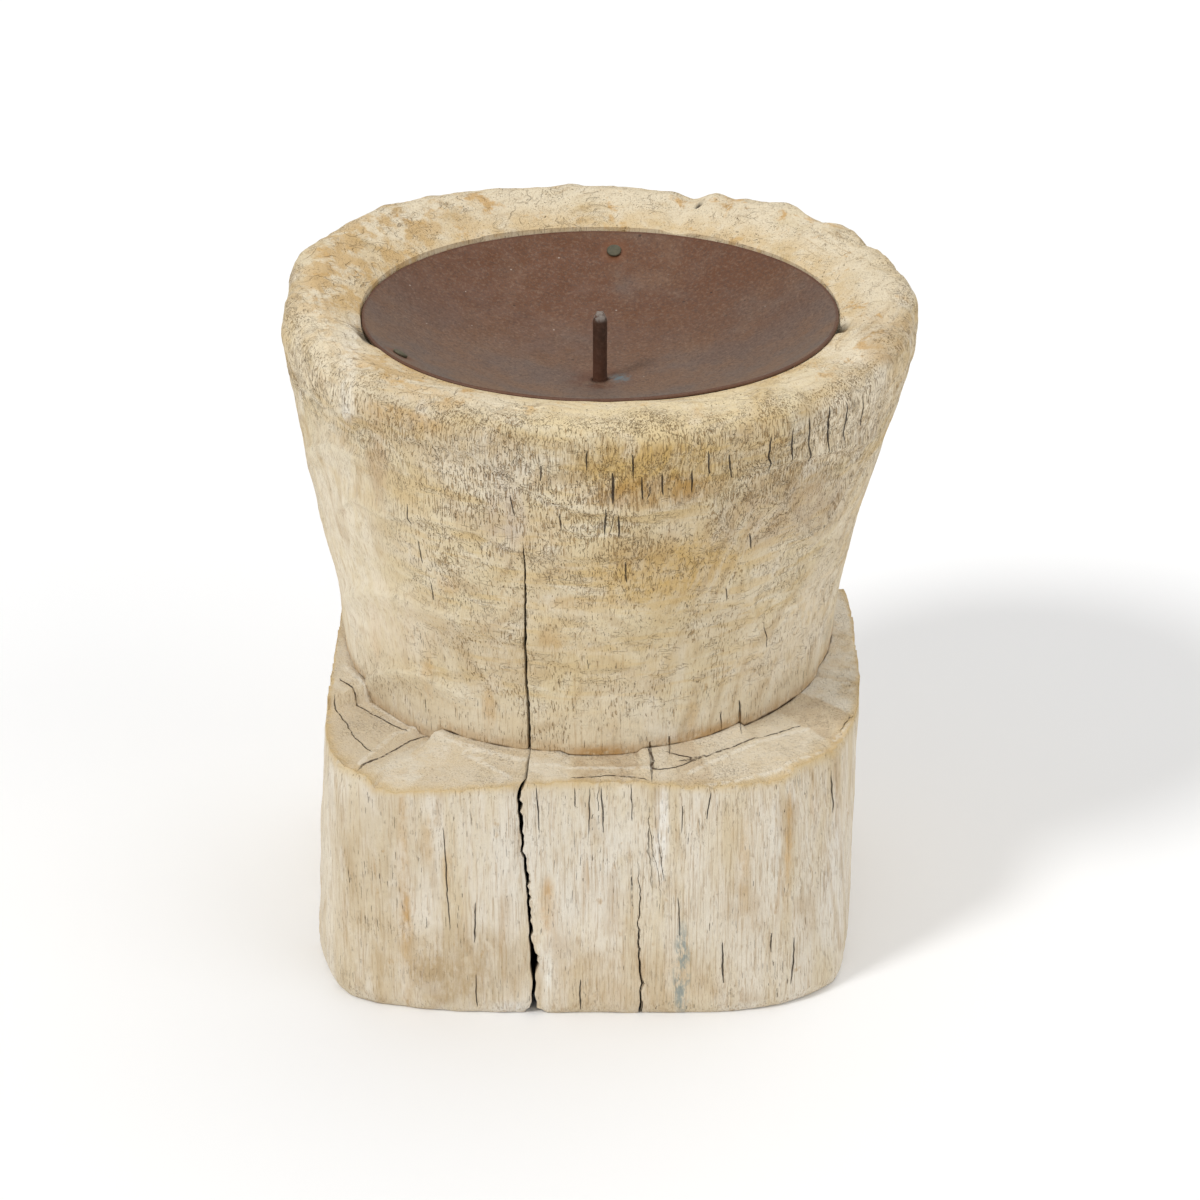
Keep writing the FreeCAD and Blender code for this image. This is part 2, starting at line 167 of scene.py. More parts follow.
# Ridges left by the adze on the cup: points as azimuth and height, then rise, reach above and below
ARCS = (
    (((235, 174.5), (245.5, 174.2), (250, 172), (254.4, 169.6)), 0.8, 9, 2.2),
    (((256, 168.4), (262.4, 167.6), (269.6, 168.4), (276.7, 167.8), (283, 169.5)), 0.5, 7, 2),
    (((254, 195), (257.3, 192.6), (265.6, 186), (276.8, 183.6), (284, 186.5)), 0.8, 8, 2.2),
    (((198, 122), (214.5, 135.9), (225.1, 139.2), (232.6, 139.7), (240.1, 138.4)), 0.9, 3, 9),
    (((206, 95), (212, 102), (220.4, 108.4), (227.2, 110.6), (238.5, 107.8)), 0.9, 2.5, 8),
    (((247.7, 133.6), (253.5, 132.9), (264.7, 124.5), (277.7, 125)), 0.5, 6, 2),
    (((196, 175), (210.3, 186.5), (221.7, 188.4), (220.6, 204)), 0.9, 2.5, 8),
    (((208.2, 161.5), (215.9, 170.5), (226.4, 169.7), (236.3, 174.6)), 0.7, 6, 2),
    (((297, 196), (312.7, 192.5), (325, 188.5), (335, 184)), 0.8, 7, 2),
    (((302.5, 184.3), (315.2, 164.2), (321, 156), (330, 172)), 0.7, 2, 7),
    (((290, 187), (298.6, 162.5), (306.7, 130.1), (314.9, 106.3)), 0.7, 2.2, 6),
    (((316, 150), (322, 128), (330, 104)), 0.6, 2, 6), (((20, 180), (60, 172), (95, 178)), 0.8, 8, 2.2),
    (((85, 150), (120, 140), (160, 148)), 0.8, 8, 2.2), (((10, 140), (45, 128), (80, 132)), 0.7, 8, 2.2),
)

# Uneven outline of the lip: azimuth and how far out
LIP_CORNERS = (
    (0, -0.2), (4, 0.9), (10, 1), (17, -0.9), (24, 0.9), (28, -0.3), (33, 1.3), (41, -1), (49, 1.1),
    (57, -0.5), (66, 0.5), (80, -0.6), (96, 0.5), (118, -0.4), (135, 0.6), (150, -0.6), (163, 0.6),
    (174, -0.8), (186, 0.6), (196, -0.6), (207, 0.8), (216, -0.7), (222, 0.9), (232, -0.5), (245, 0.4),
    (262, -0.5), (280, 0.3), (294, -0.5), (303, 0.7), (312, -0.7), (321, 0.8), (331, -0.8), (341, 0.8),
    (350, -0.4), (360, -0.2),
)

# Thin checks on the front: place across, top, foot, lean to the right going down, width
CHECKS = (
    (4, 198, 188, -0.3, 0.8), (1.6, 186.5, 176.5, -0.4, 0.5), (5.8, 184, 175, 0.2, 0.6),
    (13, 197, 189, 0.3, 0.5), (28, 198, 190, 0, 0.5), (-60, 178, 170, 0.6, 0.3), (-57, 165, 156, 1.5, 0.25),
    (-53.5, 150, 142, 0.6, 0.3), (-27, 189, 181, 1.2, 0.3), (16.4, 95, 88, 0.6, 0.6),
    (22.5, 96, 91, 0.2, 0.5), (46, 102, 92, 0.6, 0.7), (39.5, 100, 93, 0.2, 0.4), (-20, 87, 70, 0.8, 0.35),
    (-8, 87, 79, 0.2, 0.3), (-3.5, 87, 69, -0.6, 0.3), (0.8, 87, 70, 0.8, 0.35), (10.2, 88, 74, 0.3, 0.25),
    (-50, 72, 32, 1.4, 0.32), (-41, 43, 28, -0.6, 0.4), (-41, 16, 3, 0, 0.3), (10.3, 57, 42, 0.4, 0.4),
    (-6.5, 14, 2, 0.2, 0.4), (40.5, 28, 12, 0.5, 0.5), (64, 26, 8, -0.8, 0.45), (56.5, 30, 22, -0.2, 0.35),
    (26, 46, 30, 0.8, 0.3), (75, 80, 66, 1, 0.3), (19.6, 72, 52, 2.4, 0.2), (8, 166, 158, 0.4, 0.35),
    (-12, 184, 178, 0.3, 0.3), (-18, 201, 195, 0.2, 0.4), (-4, 206, 199, 0.2, 0.45),
    (10, 205, 197, 0.2, 0.5), (19, 198, 190, 0.2, 0.5), (33, 204, 195, 0.3, 0.45),
    (40, 201, 193, 0.3, 0.45), (52, 205, 192, 0.3, 0.5), (59, 206, 193, 0.3, 0.5), (65, 207, 190, 0.3, 0.6),
    (71.5, 208, 191, 0.3, 0.6), (77, 207, 192, 0.3, 0.5), (83, 206, 194, 0.3, 0.45),
    (47, 170, 163, 0.6, 0.35), (40, 150, 144, 0.3, 0.25), (54, 128, 118, 1.4, 0.25),
    (35, 84, 74, -1.2, 0.35), (26.5, 80, 70, 0, 0.25),
)

# Tinted places on the front: across, height, reach across, reach up, share and three display values. The rows
# at (-85, 140), (-66, 128) and (-90, 44) make the left side of the cup and the base's left edge paler: partly
# pale wood, partly painted light from the left.
TINTS = (
    (20, 161, 32, 16, 0.85, 202, 168, 104), (16, 200, 32, 14, 0.8, 206, 170, 98),
    (18, 191, 26, 7, 0.75, 174, 132, 70), (-62, 208, 20, 4.5, 0.7, 200, 160, 96),
    (20, 213, 60, 6, 0.7, 232, 212, 168), (50, 206, 9, 12, 0.5, 200, 168, 112),
    (62, 217, 26, 3.5, 0.8, 248, 236, 212), (-15, 136, 6, 6, 0.7, 194, 156, 100),
    (-48, 150, 5, 5, 0.6, 196, 160, 106), (-5, 150, 14, 4, 0.6, 198, 164, 110),
    (-74, 118, 3, 16, 0.7, 204, 166, 108), (-36, 104, 3, 12, 0.6, 200, 164, 110),
    (-56, 112, 2.5, 12, 0.6, 204, 168, 112), (30, 100, 3, 10, 0.6, 200, 164, 108),
    (4, 104, 2.5, 9, 0.5, 202, 166, 112), (24, 143, 12, 8, 0.45, 198, 168, 114),
    (2, 128, 36, 14, 0.5, 204, 180, 136), (-56, 134, 14, 16, 0.5, 202, 178, 138),
    (34, 132, 16, 14, 0.4, 196, 176, 142), (54, 176, 24, 18, 0.75, 188, 166, 136),
    (72, 166, 12, 18, 0.6, 186, 166, 140), (-29, 184, 8, 24, 0.75, 198, 182, 164),
    (-60, 200, 20, 10, 0.4, 206, 182, 136), (-36, 126, 22, 18, 0.5, 196, 174, 138),
    (-85, 140, 20, 64, 0.8, 234, 223, 201), (-66, 128, 14, 22, 0.6, 228, 214, 190),
    (-80, 209, 5, 12, 0.9, 242, 238, 228), (-70, 190, 4, 22, 0.6, 188, 160, 126),
    (-36, 198, 26, 14, 0.7, 222, 210, 188), (60, 116, 26, 20, 0.5, 224, 208, 182),
    (70, 142, 14, 12, 0.5, 194, 174, 140), (42, 101, 16, 10, 0.5, 226, 210, 180),
    (-4, 143, 24, 10, 0.5, 226, 208, 170), (-2, 104, 34, 12, 0.5, 224, 210, 182),
    (-64, 46, 2.6, 50, 0.95, 198, 156, 96), (-56, 66, 3, 12, 0.6, 198, 162, 110),
    (-50, 56, 2.5, 9, 0.5, 202, 166, 112), (-44, 20, 28, 18, 0.7, 190, 170, 138),
    (-72, 20, 24, 24, 0.5, 204, 182, 146), (-80, 34, 18, 50, 0.6, 204, 186, 154),
    (-90, 44, 5, 44, 0.8, 232, 222, 202), (-70, 62, 22, 26, 0.6, 204, 188, 160),
    (-56, 10, 4, 4, 0.5, 236, 232, 224), (-50, 14, 16, 14, 0.55, 178, 152, 112),
    (94, 214, 12, 5, 0.6, 184, 148, 96), (-30, 3, 8, 4, 0.7, 236, 232, 224),
    (8, 14, 44, 16, 0.6, 202, 180, 146), (-10, 60, 34, 30, 0.55, 228, 222, 209),
    (20, 70, 3, 26, 0.9, 242, 238, 229), (47, 56, 2.5, 24, 0.6, 204, 168, 112),
    (61.5, 58, 1.6, 28, 0.85, 206, 166, 106), (57, 62, 3, 22, 0.8, 232, 227, 215),
    (52, 34, 30, 40, 0.4, 208, 196, 174), (78, 40, 8, 34, 0.5, 234, 230, 222),
    (80, 198, 22, 18, 0.9, 244, 230, 204), (-90, 212, 22, 14, 0.7, 240, 226, 198),
    (84, 160, 12, 22, 0.5, 220, 206, 182), (74, 122, 14, 30, 0.6, 228, 216, 194),
    (-18, 24, 3.4, 26, 1, 244, 240, 228), (-17, 42, 3, 14, 0.8, 200, 160, 106),
)

# Lines on the ledge in plan: points, width, and how far they stand up. Each carries a painted highlight along
# its top.
LEDGE_RIDGES = (
    (((-86.3, -23.7), (-78.9, -38.5), (-72.1, -46.9), (-61.4, -59)), 2.4, 1),
    (((-61.4, -59), (-68, -62.1), (-72.8, -73.2), (-77.7, -83.7)), 2.6, 0.9),
    (((29.1, -90.2), (43, -79.7), (57.9, -68.9), (68.8, -62.1)), 2.2, 0.8),
    (((34.8, -94.7), (42.6, -92.8), (58.4, -84.8), (74.7, -74.2)), 2, 0.5),
    (((77.1, -66.7), (88, -48), (96, -20)), 2.2, 0.5), (((-44, -80), (-30, -92)), 2, 0.4),
    (((-22, -88), (-10, -90), (16, -90)), 2, 0.4),
    (((-55, -67.5), (-45, -75.5), (-32, -82.5), (-24, -86)), 2.8, 0.5),
)
LEDGE_CHECKS = (
    (((-57.5, -62.5), (-62.4, -66.1), (-70.3, -77.9), (-77.9, -85.7)), 0.7),
    (((-87.7, -32.2), (-82.4, -40.2), (-74.5, -49), (-64.4, -59.6)), 0.5),
    (((-89.1, -43.5), (-84, -56), (-80.8, -65.5), (-74.9, -75.3)), 0.4),
    (((16.2, -82.2), (17.4, -86), (16.6, -88.5), (17.1, -91)), 0.9),
    (((22.5, -82), (30, -83.5), (43, -77), (57, -67), (66, -60.5)), 0.5),
    (((17.1, -91), (25, -88), (36, -81)), 0.35), (((-8, -95), (3, -93.6), (14.5, -94.9)), 0.35),
    (((80, -60), (84, -50)), 0.35),
)

# Crisp upright edges of the base's front corners: azimuth, rise and reach in degrees
CORNER_EDGES = ((225.5, 1.9, 9), (316, 1.5, 7))

# Pits and worm holes in the rim, with painted shade inside: place, reach and depth
HOLES = (
    (-93.5, -8, 214.5, 2.2, 1.8), (35, 88, 221.5, 2.6, 1.4), (37.5, 82.5, 218.5, 2.2, 1.4),
    (43, 74, 215, 2.4, 1.2), (53, 86, 220.5, 2.2, 1.4),
)

# Shares of the broad and of the close unevenness in each zone of the wood
RELIEF_SHARES = {"arris": (0.4, 0.8), "side": (0.7, 0.8), "ledge": (0, 0.5), "wall": (1, 1),
                 "lip": (0.9, 1.1), "slope": (1.1, 0.8)}

# Width of the log's growth rings
RING_WIDTH = 4.6

# Distance that stands for no line near
FAR = 20

# How far the tallest ridges stand up
ARC_RISE = 1.7

# Millimetres round the cup in a degree
ARC_STEP = 1.65

# Mesh density of the wood
COLUMNS = 448
BASE_ROWS = 56
LEDGE_STEPS = (0.05, 0.12, 0.20, 0.28, 0.37, 0.46, 0.55, 0.64, 0.73, 0.81, 0.88, 0.93, 0.965, 0.99)
WALL_STARTS = (0, 0.004, 0.010)
CUP_ROWS = 92
LIP_ROWS = 22
SLOPE_ROWS = 16
SLOPE_TRIES = 59


def field(points, size, seed, octaves=3, upright=1):
    """Smooth noise from about -1 to 1 at each point, in lumps of a size in millimetres."""
    offset = Vector((seed * 17.3, seed * -9.1, seed * 5.7))
    places = points.reshape(-1, 3) * (1, 1, upright) / size
    values = [noise.fractal(Vector(place) + offset, 1, 2, octaves) for place in places]
    return np.array(values).reshape(points.shape[:-1])


def smooth(values):
    """Smooth step of values that run from 0 to 1."""
    values = np.clip(values, 0, 1)
    return values * values * (3 - 2 * values)


def tone(red, green, blue):
    """Linear colour from display values of 0 to 255."""
    shares = [value / 255 for value in (red, green, blue)]
    return tuple((s / 12.92 if s < 0.04045 else ((s + 0.055) / 1.055) ** 2.4) for s in shares) + (1,)


def bump_at(values, centre, reach):
    """1 at the centre, falling smoothly to 0 at the reach on either side."""
    return smooth(1 - np.abs(values - centre) / reach)


def polar(points):
    """Azimuths of points in degrees, from 0 to 360."""
    return np.degrees(np.arctan2(points[..., 1], points[..., 0])) % TURN


def whole_turn(count):
    """Evenly spread angles in radians."""
    return np.radians(TURN * np.arange(count) / count)


def ring(angles, radius, height):
    """Points round the axis."""
    return np.stack([radius * np.cos(angles), radius * np.sin(angles), height + 0 * angles], -1)


def square_reach(angles):
    """How much farther out a square's side is at angles than in its middle."""
    return 1 / np.cos((angles + math.pi / 4) % (math.pi / 2) - math.pi / 4)


def along_curve(shares, table):
    """Cubic through the rows of a table, whose first column gives the shares."""
    table = np.array(table)
    known, rest = table[:, 0], table[:, 1:]
    slopes = np.gradient(rest, known, axis=0)
    index = np.clip(np.searchsorted(known, shares) - 1, 0, len(known) - 2)
    span = known[index + 1] - known[index]
    t = (shares - known[index]) / span
    both = (index, index + 1)
    first, last, start, end = (np.moveaxis(values[at], -1, 0) for values in (rest, slopes) for at in both)
    bend = (1 - t) * t * span * (start * (1 - t) - end * t)
    return first + (last - first) * t * t * (3 - 2 * t) + bend


def base_points(azimuths, heights, insets=0):
    """Points on the side of the base at polar azimuths in degrees."""
    rise = heights / LEDGE_HEIGHT
    angles = np.radians(azimuths)
    cosine, sine = np.cos(angles), np.sin(angles)
    corner = (azimuths % TURN // (TURN / 4)).astype(int)
    powers = np.array(CORNER_POWERS)[corner]
    power = powers[..., 0] + (powers[..., 1] - powers[..., 0]) * rise
    halves = [low + (high - low) * rise for low, high in zip(BASE_FLOOR_HALVES, BASE_LEDGE_HALVES)]
    across = np.where(cosine > 0, halves[0], halves[1]) - insets
    along = np.where(sine > 0, halves[3], halves[2]) - insets
    radius = (np.abs(cosine / across) ** power + np.abs(sine / along) ** power) ** (-1 / power)
    return np.stack([radius * cosine, radius * sine, heights + 0 * radius], -1)


def lobes(azimuths):
    """Factor by which the cup is wider or narrower at azimuths."""
    return 1 + sum(share * np.cos(np.radians(count * (azimuths - crest))) for count, share, crest in LOBES)


def cup_points(azimuths, radii, heights, shifts, slants=0):
    """Points round the cup. The shift goes from the neck's centre to the lip's."""
    angles = np.radians(azimuths)
    slant = LIP_SLANT * np.cos(np.radians(azimuths - LIP_SLANT_AZIMUTH))
    wave = LIP_WAVE * np.cos(np.radians(3 * azimuths - 90))
    radii = radii * lobes(azimuths)
    across = NECK_SHIFT[0] + (LIP_SHIFT[0] - NECK_SHIFT[0]) * shifts + radii * np.cos(angles)
    along = NECK_SHIFT[1] + (LIP_SHIFT[1] - NECK_SHIFT[1]) * shifts + radii * np.sin(angles)
    return np.stack([across, along, heights + slants * (slant + wave)], -1)


def wall_points(azimuths, heights):
    """Points on the outside of the cup at heights above the floor."""
    shares = (heights - LEDGE_HEIGHT) / CUP_RISE
    flare, shift = along_curve(shares, CUP_CURVE)
    return cup_points(azimuths, NECK_RADIUS + (LIP_RADIUS - NECK_RADIUS) * flare, heights, shift)


def ledge_heights(points):
    """Height of the chiselled ledge over points in plan."""
    azimuths = np.degrees(np.arctan2(points[..., 1], points[..., 0]))
    total, weights = 0, 0
    for first, last, inner, outer in FACETS:
        middle, half = math.radians((first + last) / 2), (last - first) / 2
        distance = points[..., 0] * math.cos(middle) + points[..., 1] * math.sin(middle)
        fall = (inner - outer) * LEDGE_CARVE / (LEDGE_FAR - NECK_RADIUS)
        height = LEDGE_TOP - LEDGE_CARVE * inner + (distance - NECK_RADIUS) * fall
        off = np.abs((azimuths - (first + last) / 2 + TURN / 2) % TURN - TURN / 2)
        weight = smooth((half + 0.7 - off) / 1.4)
        total, weights = total + weight * height, weights + weight
    return total / weights


def crack_azimuths(crack, on_cup):
    """Azimuths of a crack's path, seen from the base's axis or the neck's."""
    levels, across = np.array(crack)[:, :2].T
    if on_cup:
        points = wall_points(CRACK_AZIMUTH, np.maximum(levels, CREASE_HEIGHT))
        radius = np.hypot(*(points[:, :2] - NECK_SHIFT).T)
        return 270 + np.degrees(np.arcsin((across - NECK_SHIFT[0]) / radius))
    return 270 + np.degrees(np.arctan(across / BASE_LEDGE_HALVES[2]))


def crack_at(crack, levels, on_cup):
    """Azimuth, half width and depth of a crack at levels. Its depth fades out above its upper end."""
    known, across, widths, depths = np.array(crack)[::-1].T
    wobble = np.array([noise.noise(Vector((0, across[0], level / 2.2))) for level in levels])
    jag = np.array([noise.noise(Vector((7, across[0], level / 5))) for level in levels])
    rough = 0.4 if on_cup else 1
    path = np.interp(levels, known, crack_azimuths(crack, on_cup)[::-1]) + rough * (0.4 * wobble + 0.36 * jag)
    half = np.interp(levels, known, widths / 2) * (1 + (0.3 + 0.4 * rough) * wobble)
    return path, half, np.interp(levels, known, depths, right=0)


def column_layout():
    """Reference azimuths of the wood's columns, and the columns that each crack owns."""
    even = 90 + TURN * np.arange(COLUMNS) / COLUMNS
    halves, extras, _ = np.array(CRACK_COLUMNS).T
    offsets = np.degrees((0.5 * halves + extras) / REFERENCE_RADIUS)
    middles = np.array([[np.median(crack_azimuths(crack, False))] for crack in CRACKS])
    free = np.all(np.abs(even - middles) > offsets[-1] + 0.2, axis=0)
    return np.sort(np.append(even[free], middles + offsets)), middles + offsets


def warp(columns, owned, levels, on_cup):
    """Azimuths of every column at every level, and the cracks' depth and the painted shade in them there."""
    azimuths = np.zeros((len(levels), len(columns)))
    marks = np.zeros(azimuths.shape + (2,))
    halves, extras, shares = np.array(CRACK_COLUMNS).T
    cracks = [crack_at(crack, levels, on_cup) for crack in CRACKS]
    start, end = [90, 180], [360, 449.9]
    knots = np.concatenate([start, owned.ravel(), end])
    for row in range(len(levels)):
        targets = start
        for index, (path, half, depth) in zip(np.searchsorted(columns, owned), cracks):
            offsets = np.degrees((half[row] * halves + extras) / REFERENCE_RADIUS)
            targets = targets + list(path[row] + offsets)
            marks[row, index, 0] = depth[row] * shares
            # Painted shade inside the crack, growing with its depth.
            marks[row, index, 1] = smooth(depth[row] / 2) * np.minimum(shares * 1.6, 1)
        azimuths[row] = np.interp(columns, knots, np.maximum.accumulate(targets + end))
    return azimuths, marks


def add_object(name, data):
    """New object in the scene."""
    made = bpy.data.objects.new(name, data)
    bpy.context.scene.collection.objects.link(made)
    return made


def mesh_object(name, points, faces):
    """Smooth mesh object from points in millimetres."""
    mesh = bpy.data.meshes.new(name)
    mesh.from_pydata((np.reshape(points, (-1, 3)) * MM).tolist(), [], faces)
    mesh.polygons.foreach_set("use_smooth", [True] * len(mesh.polygons))
    mesh.update()
    return add_object(name, mesh)


def ring_faces(rows, columns):
    """Quads between neighbouring rings of a closed grid."""
    row, column = np.meshgrid(np.arange(rows - 1) * columns, np.arange(columns), indexing="ij")
    after = (column + 1) % columns
    corners = (row + column, row + after, row + columns + after, row + columns + column)
    return np.stack(corners, -1).reshape(-1, 4).tolist()


def grid_normals(grid):
    """Outward unit normals of a closed grid of points."""
    across = np.roll(grid, -1, axis=1) - np.roll(grid, 1, axis=1)
    along = np.gradient(grid, axis=0)
    normal = np.cross(across, along)
    return normal / np.maximum(np.linalg.norm(normal, axis=-1, keepdims=True), 1e-9)


def plate_underside(radius):
    """Height of the plate's underside at a radius."""
    return DISH_CENTRE_HEIGHT - np.sqrt((DISH_CURVE_RADIUS + SHEET) ** 2 - radius**2)


def wood_grid():
    """Rings of the wood from its underside up and into the mouth.

    Also the cracks' depth and the painted shade in them at its points, and the rows of each zone.
    """
    columns, owned = column_layout()
    rises, insets = np.array(ARRIS).T[..., None]
    azimuths, arris_marks = warp(columns, owned, rises[:, 0], False)
    arris = base_points(azimuths, rises, insets)

    shares = np.linspace(0, 1, BASE_ROWS + 1)[1:, None]
    levels = ARRIS_TOP + (LEDGE_HEIGHT - ARRIS_TOP) * shares[:, 0]
    azimuths, side_marks = warp(columns, owned, levels, False)
    edge = ledge_heights(base_points(azimuths[-1], LEDGE_HEIGHT))
    side = base_points(azimuths, ARRIS_TOP + (edge - ARRIS_TOP) * shares)

    top = CREST_HEIGHT - LIP_DROP - LIP_BAND
    shares = np.concatenate([WALL_STARTS, np.linspace(WALL_STARTS[-1], 1, CUP_ROWS)[1:]])[:, None]
    azimuths, wall_marks = warp(columns, owned, CUP_FOOT + (top - CUP_FOOT) * shares[:, 0], True)
    foot = CREASE_HEIGHT
    for _ in range(3):
        foot = ledge_heights(wall_points(azimuths[0], foot))
    wall = wall_points(azimuths, foot + (top - foot) * shares)

    steps = np.array(LEDGE_STEPS)[:, None, None]
    ledge = side[-1] + (wall[0] - side[-1]) * steps
    ledge[..., 2] = ledge_heights(ledge)
    ledge_marks = side_marks[-1] + (wall_marks[0] - side_marks[-1]) * steps

    flare, shift = along_curve((top - LEDGE_HEIGHT) / CUP_RISE, CUP_CURVE)
    curve = [(NECK_RADIUS + (LIP_RADIUS - NECK_RADIUS) * flare, top, shift, 0)]
    for width, drop in LIP_CURVE:
        curve.append((LIP_RADIUS - LIP_WIDTH * width, CREST_HEIGHT - LIP_DROP * drop, 1, 1 - LIP_CALM * drop))
    lengths = np.cumsum(np.append(0, np.hypot(*np.diff(np.array(curve)[:, :2], axis=0).T)))
    places = lengths[-1] * np.linspace(0, 1, LIP_ROWS + 1)[1:, None]
    lip = cup_points(azimuths[-1], *along_curve(places, np.column_stack([lengths, curve])))

    angles = np.radians(azimuths[-1])
    aim = SEAT_RADIUS - SLOPE_OVERRUN
    run = ring(angles, aim, plate_underside(aim) + SLOPE_END_RISE) - lip[-1]
    tries = lip[-1] + run * np.linspace(0, 1, SLOPE_TRIES + 1)[1:, None, None]
    reach = np.hypot(tries[..., 0], tries[..., 1])
    stop = np.argmax(reach < SEAT_RADIUS + 0.02, axis=0) / SLOPE_TRIES
    slope = lip[-1] + run * (np.linspace(0, 1, SLOPE_ROWS + 1)[1:, None] * stop)[..., None]

    radii = (SEAT_RADIUS, NAIL_RADIUS, HOLLOW[0][0])
    profile = [(radius, plate_underside(radius) - SEAT_CLEARANCE) for radius in radii]
    seat = profile[-1][1]
    profile += [(radius, seat + (HOLLOW_FLOOR - seat) * fall) for radius, fall in HOLLOW[1:]]
    inside = np.array([ring(angles, radius, height) for radius, height in profile])

    parts = {"arris": arris, "side": side, "ledge": ledge, "wall": wall, "lip": lip, "slope": slope,
             "seat": inside}
    ends = np.cumsum([0] + [len(part) for part in parts.values()])
    zones = {name: slice(*rows) for name, *rows in zip(parts, ends, ends[1:])}
    grid = np.concatenate(list(parts.values()))
    marks = np.zeros(grid.shape[:2] + (2,))
    marks[:zones["wall"].stop] = np.concatenate([arris_marks, side_marks, ledge_marks, wall_marks])
    return grid, marks, zones


def ring_waves(points):
    """0 to 1 across each growth ring of the log, whose heart lies right of the middle and behind it."""
    reach = np.hypot(points[..., 0] - 12, points[..., 1] - 20) + 9 * field(points, 42, 6, 2, 0.5)
    return 0.5 + 0.5 * np.sin(reach * (2 * math.pi / RING_WIDTH))


def line_distance(places, line):
    """Distance of places in plan from a line through points, and the same with its side as sign."""
    nearest = np.full(places.shape[:-1], np.inf)
    signed = np.full(places.shape[:-1], np.inf)
    for first, second in zip(np.array(line), np.array(line)[1:]):
        run = second - first
        share = np.clip(((places - first) @ run) / (run @ run), 0, 1)
        off = places - first - share[..., None] * run
        distance = np.linalg.norm(off, axis=-1)
        side = np.sign(run[0] * off[..., 1] - run[1] * off[..., 0])
        signed = np.where(distance < nearest, distance * side, signed)
        nearest = np.minimum(nearest, distance)
    return nearest, signed


def nearest_line(shape, lines):
    """Distance, signed distance and half width of the nearest of several lines."""
    off, signed, half = np.array([FAR, FAR, 0])[:, None, None] + np.zeros(shape)
    for distance, side, width in lines:
        closer = distance < off
        off[closer], signed[closer] = distance[closer], side[closer]
        half[closer] = (width / 2 + 0 * off)[closer]
    return off, signed, half


def plan_lines(grid, table):
    """The lines of a table drawn in plan, for nearest_line."""
    return [(*line_distance(grid[..., :2], line), width) for line, width, *_ in table]


def front_checks(grid):
    """The thin checks on the front, widest in their middle, for nearest_line."""
    x, y, z = np.moveaxis(grid, -1, 0)
    for across, top, foot, lean, width in CHECKS:
        rise = (z - (top + foot) / 2) / ((top - foot) / 2)
        aside = x - across + rise * lean / 2
        distance = np.where((np.abs(rise) < 1.15) & (y < 0), np.abs(aside), FAR)
        yield distance, aside, np.sqrt(np.clip(1 - rise**2, 0, 1)) * width


def tint_fields(grid):
    """Colour and share of the tinted places on the front."""
    x, y, z = np.moveaxis(grid, -1, 0)
    colour, total = np.zeros(grid.shape), np.zeros(x.shape)
    for across, height, reach_across, reach_up, share, *display in TINTS:
        distance = ((x - across) / reach_across) ** 2 + ((z - height) / reach_up) ** 2
        spot = share * smooth(-y / 30) * smooth((1 - distance) / 0.85)
        total = spot + total * (1 - spot)
        colour += (np.array(tone(*display)[:3]) - colour) * (spot / np.maximum(total, 1e-6))[..., None]
    return colour, total


def arc_relief(azimuths, heights):
    """Ridges between adze cuts: highest on each line, falling off at its own reach on either side."""
    places = np.stack([azimuths * ARC_STEP, heights], -1)
    relief = np.zeros_like(heights)
    for line, rise, above, below in ARCS:
        distance, side = line_distance(places, np.array(line) * (ARC_STEP, 1))
        reach = np.where(side > 0, above, below)
        relief = np.maximum(relief, rise * np.maximum(0, 1 - distance / reach) ** 1.3)
    return relief


def wood_relief(grid, zones, waves, arcs):
    """Hand-carved unevenness of the wood's outside, outwards in millimetres."""
    azimuths = polar(grid)
    broad = field(grid, 70, 1, 2) * 0.8 + field(grid, 24, 2, 2) * 0.25
    broad += (0.5 - np.abs(field(grid, 44, 3, 1, 2.2))) * 1.1
    close = field(grid, 4.5, 4, 2, 0.08) * 0.14 + field(grid, 4, 5) * 0.16 + 0.3 * (waves - 0.5)
    ledge, wall, lip, slope = (zones[name] for name in ("ledge", "wall", "lip", "slope"))
    fade = np.ones(azimuths.shape)
    fade[slope] = np.linspace(1, 0, SLOPE_ROWS)[:, None] ** 0.5
    relief = np.zeros(azimuths.shape)
    for name, (wide, near) in RELIEF_SHARES.items():
        relief[zones[name]] = ((wide * broad + near * close) * fade)[zones[name]]
    outline = np.interp(azimuths, *zip(*LIP_CORNERS)) * smooth((grid[..., 2] - 196) / 10)
    relief[wall.start:lip.stop] += (ARC_RISE * arcs + outline)[wall.start:lip.stop]
    facets = 0.3 - np.abs(field(grid, 27, 11, 1))
    relief[lip.start:slope.stop] += (2.6 * facets * fade)[lip.start:slope.stop]
    crumbs = np.abs(field(grid, 7, 9, 2)) * (bump_at(azimuths, 235, 60) + 0.25)
    relief[lip] -= 1.5 * crumbs[lip]
    for line, width, rise in LEDGE_RIDGES:
        relief[ledge] += rise * np.maximum(0, 1 - line_distance(grid[ledge, :, :2], line)[0] / width)
    relief[0] = 0
    for place, rise, reach in CORNER_EDGES:
        edge = rise * np.maximum(0, 1 - np.abs(azimuths - place) / reach)
        relief[1:ledge.start] += edge[1:ledge.start]
    return relief


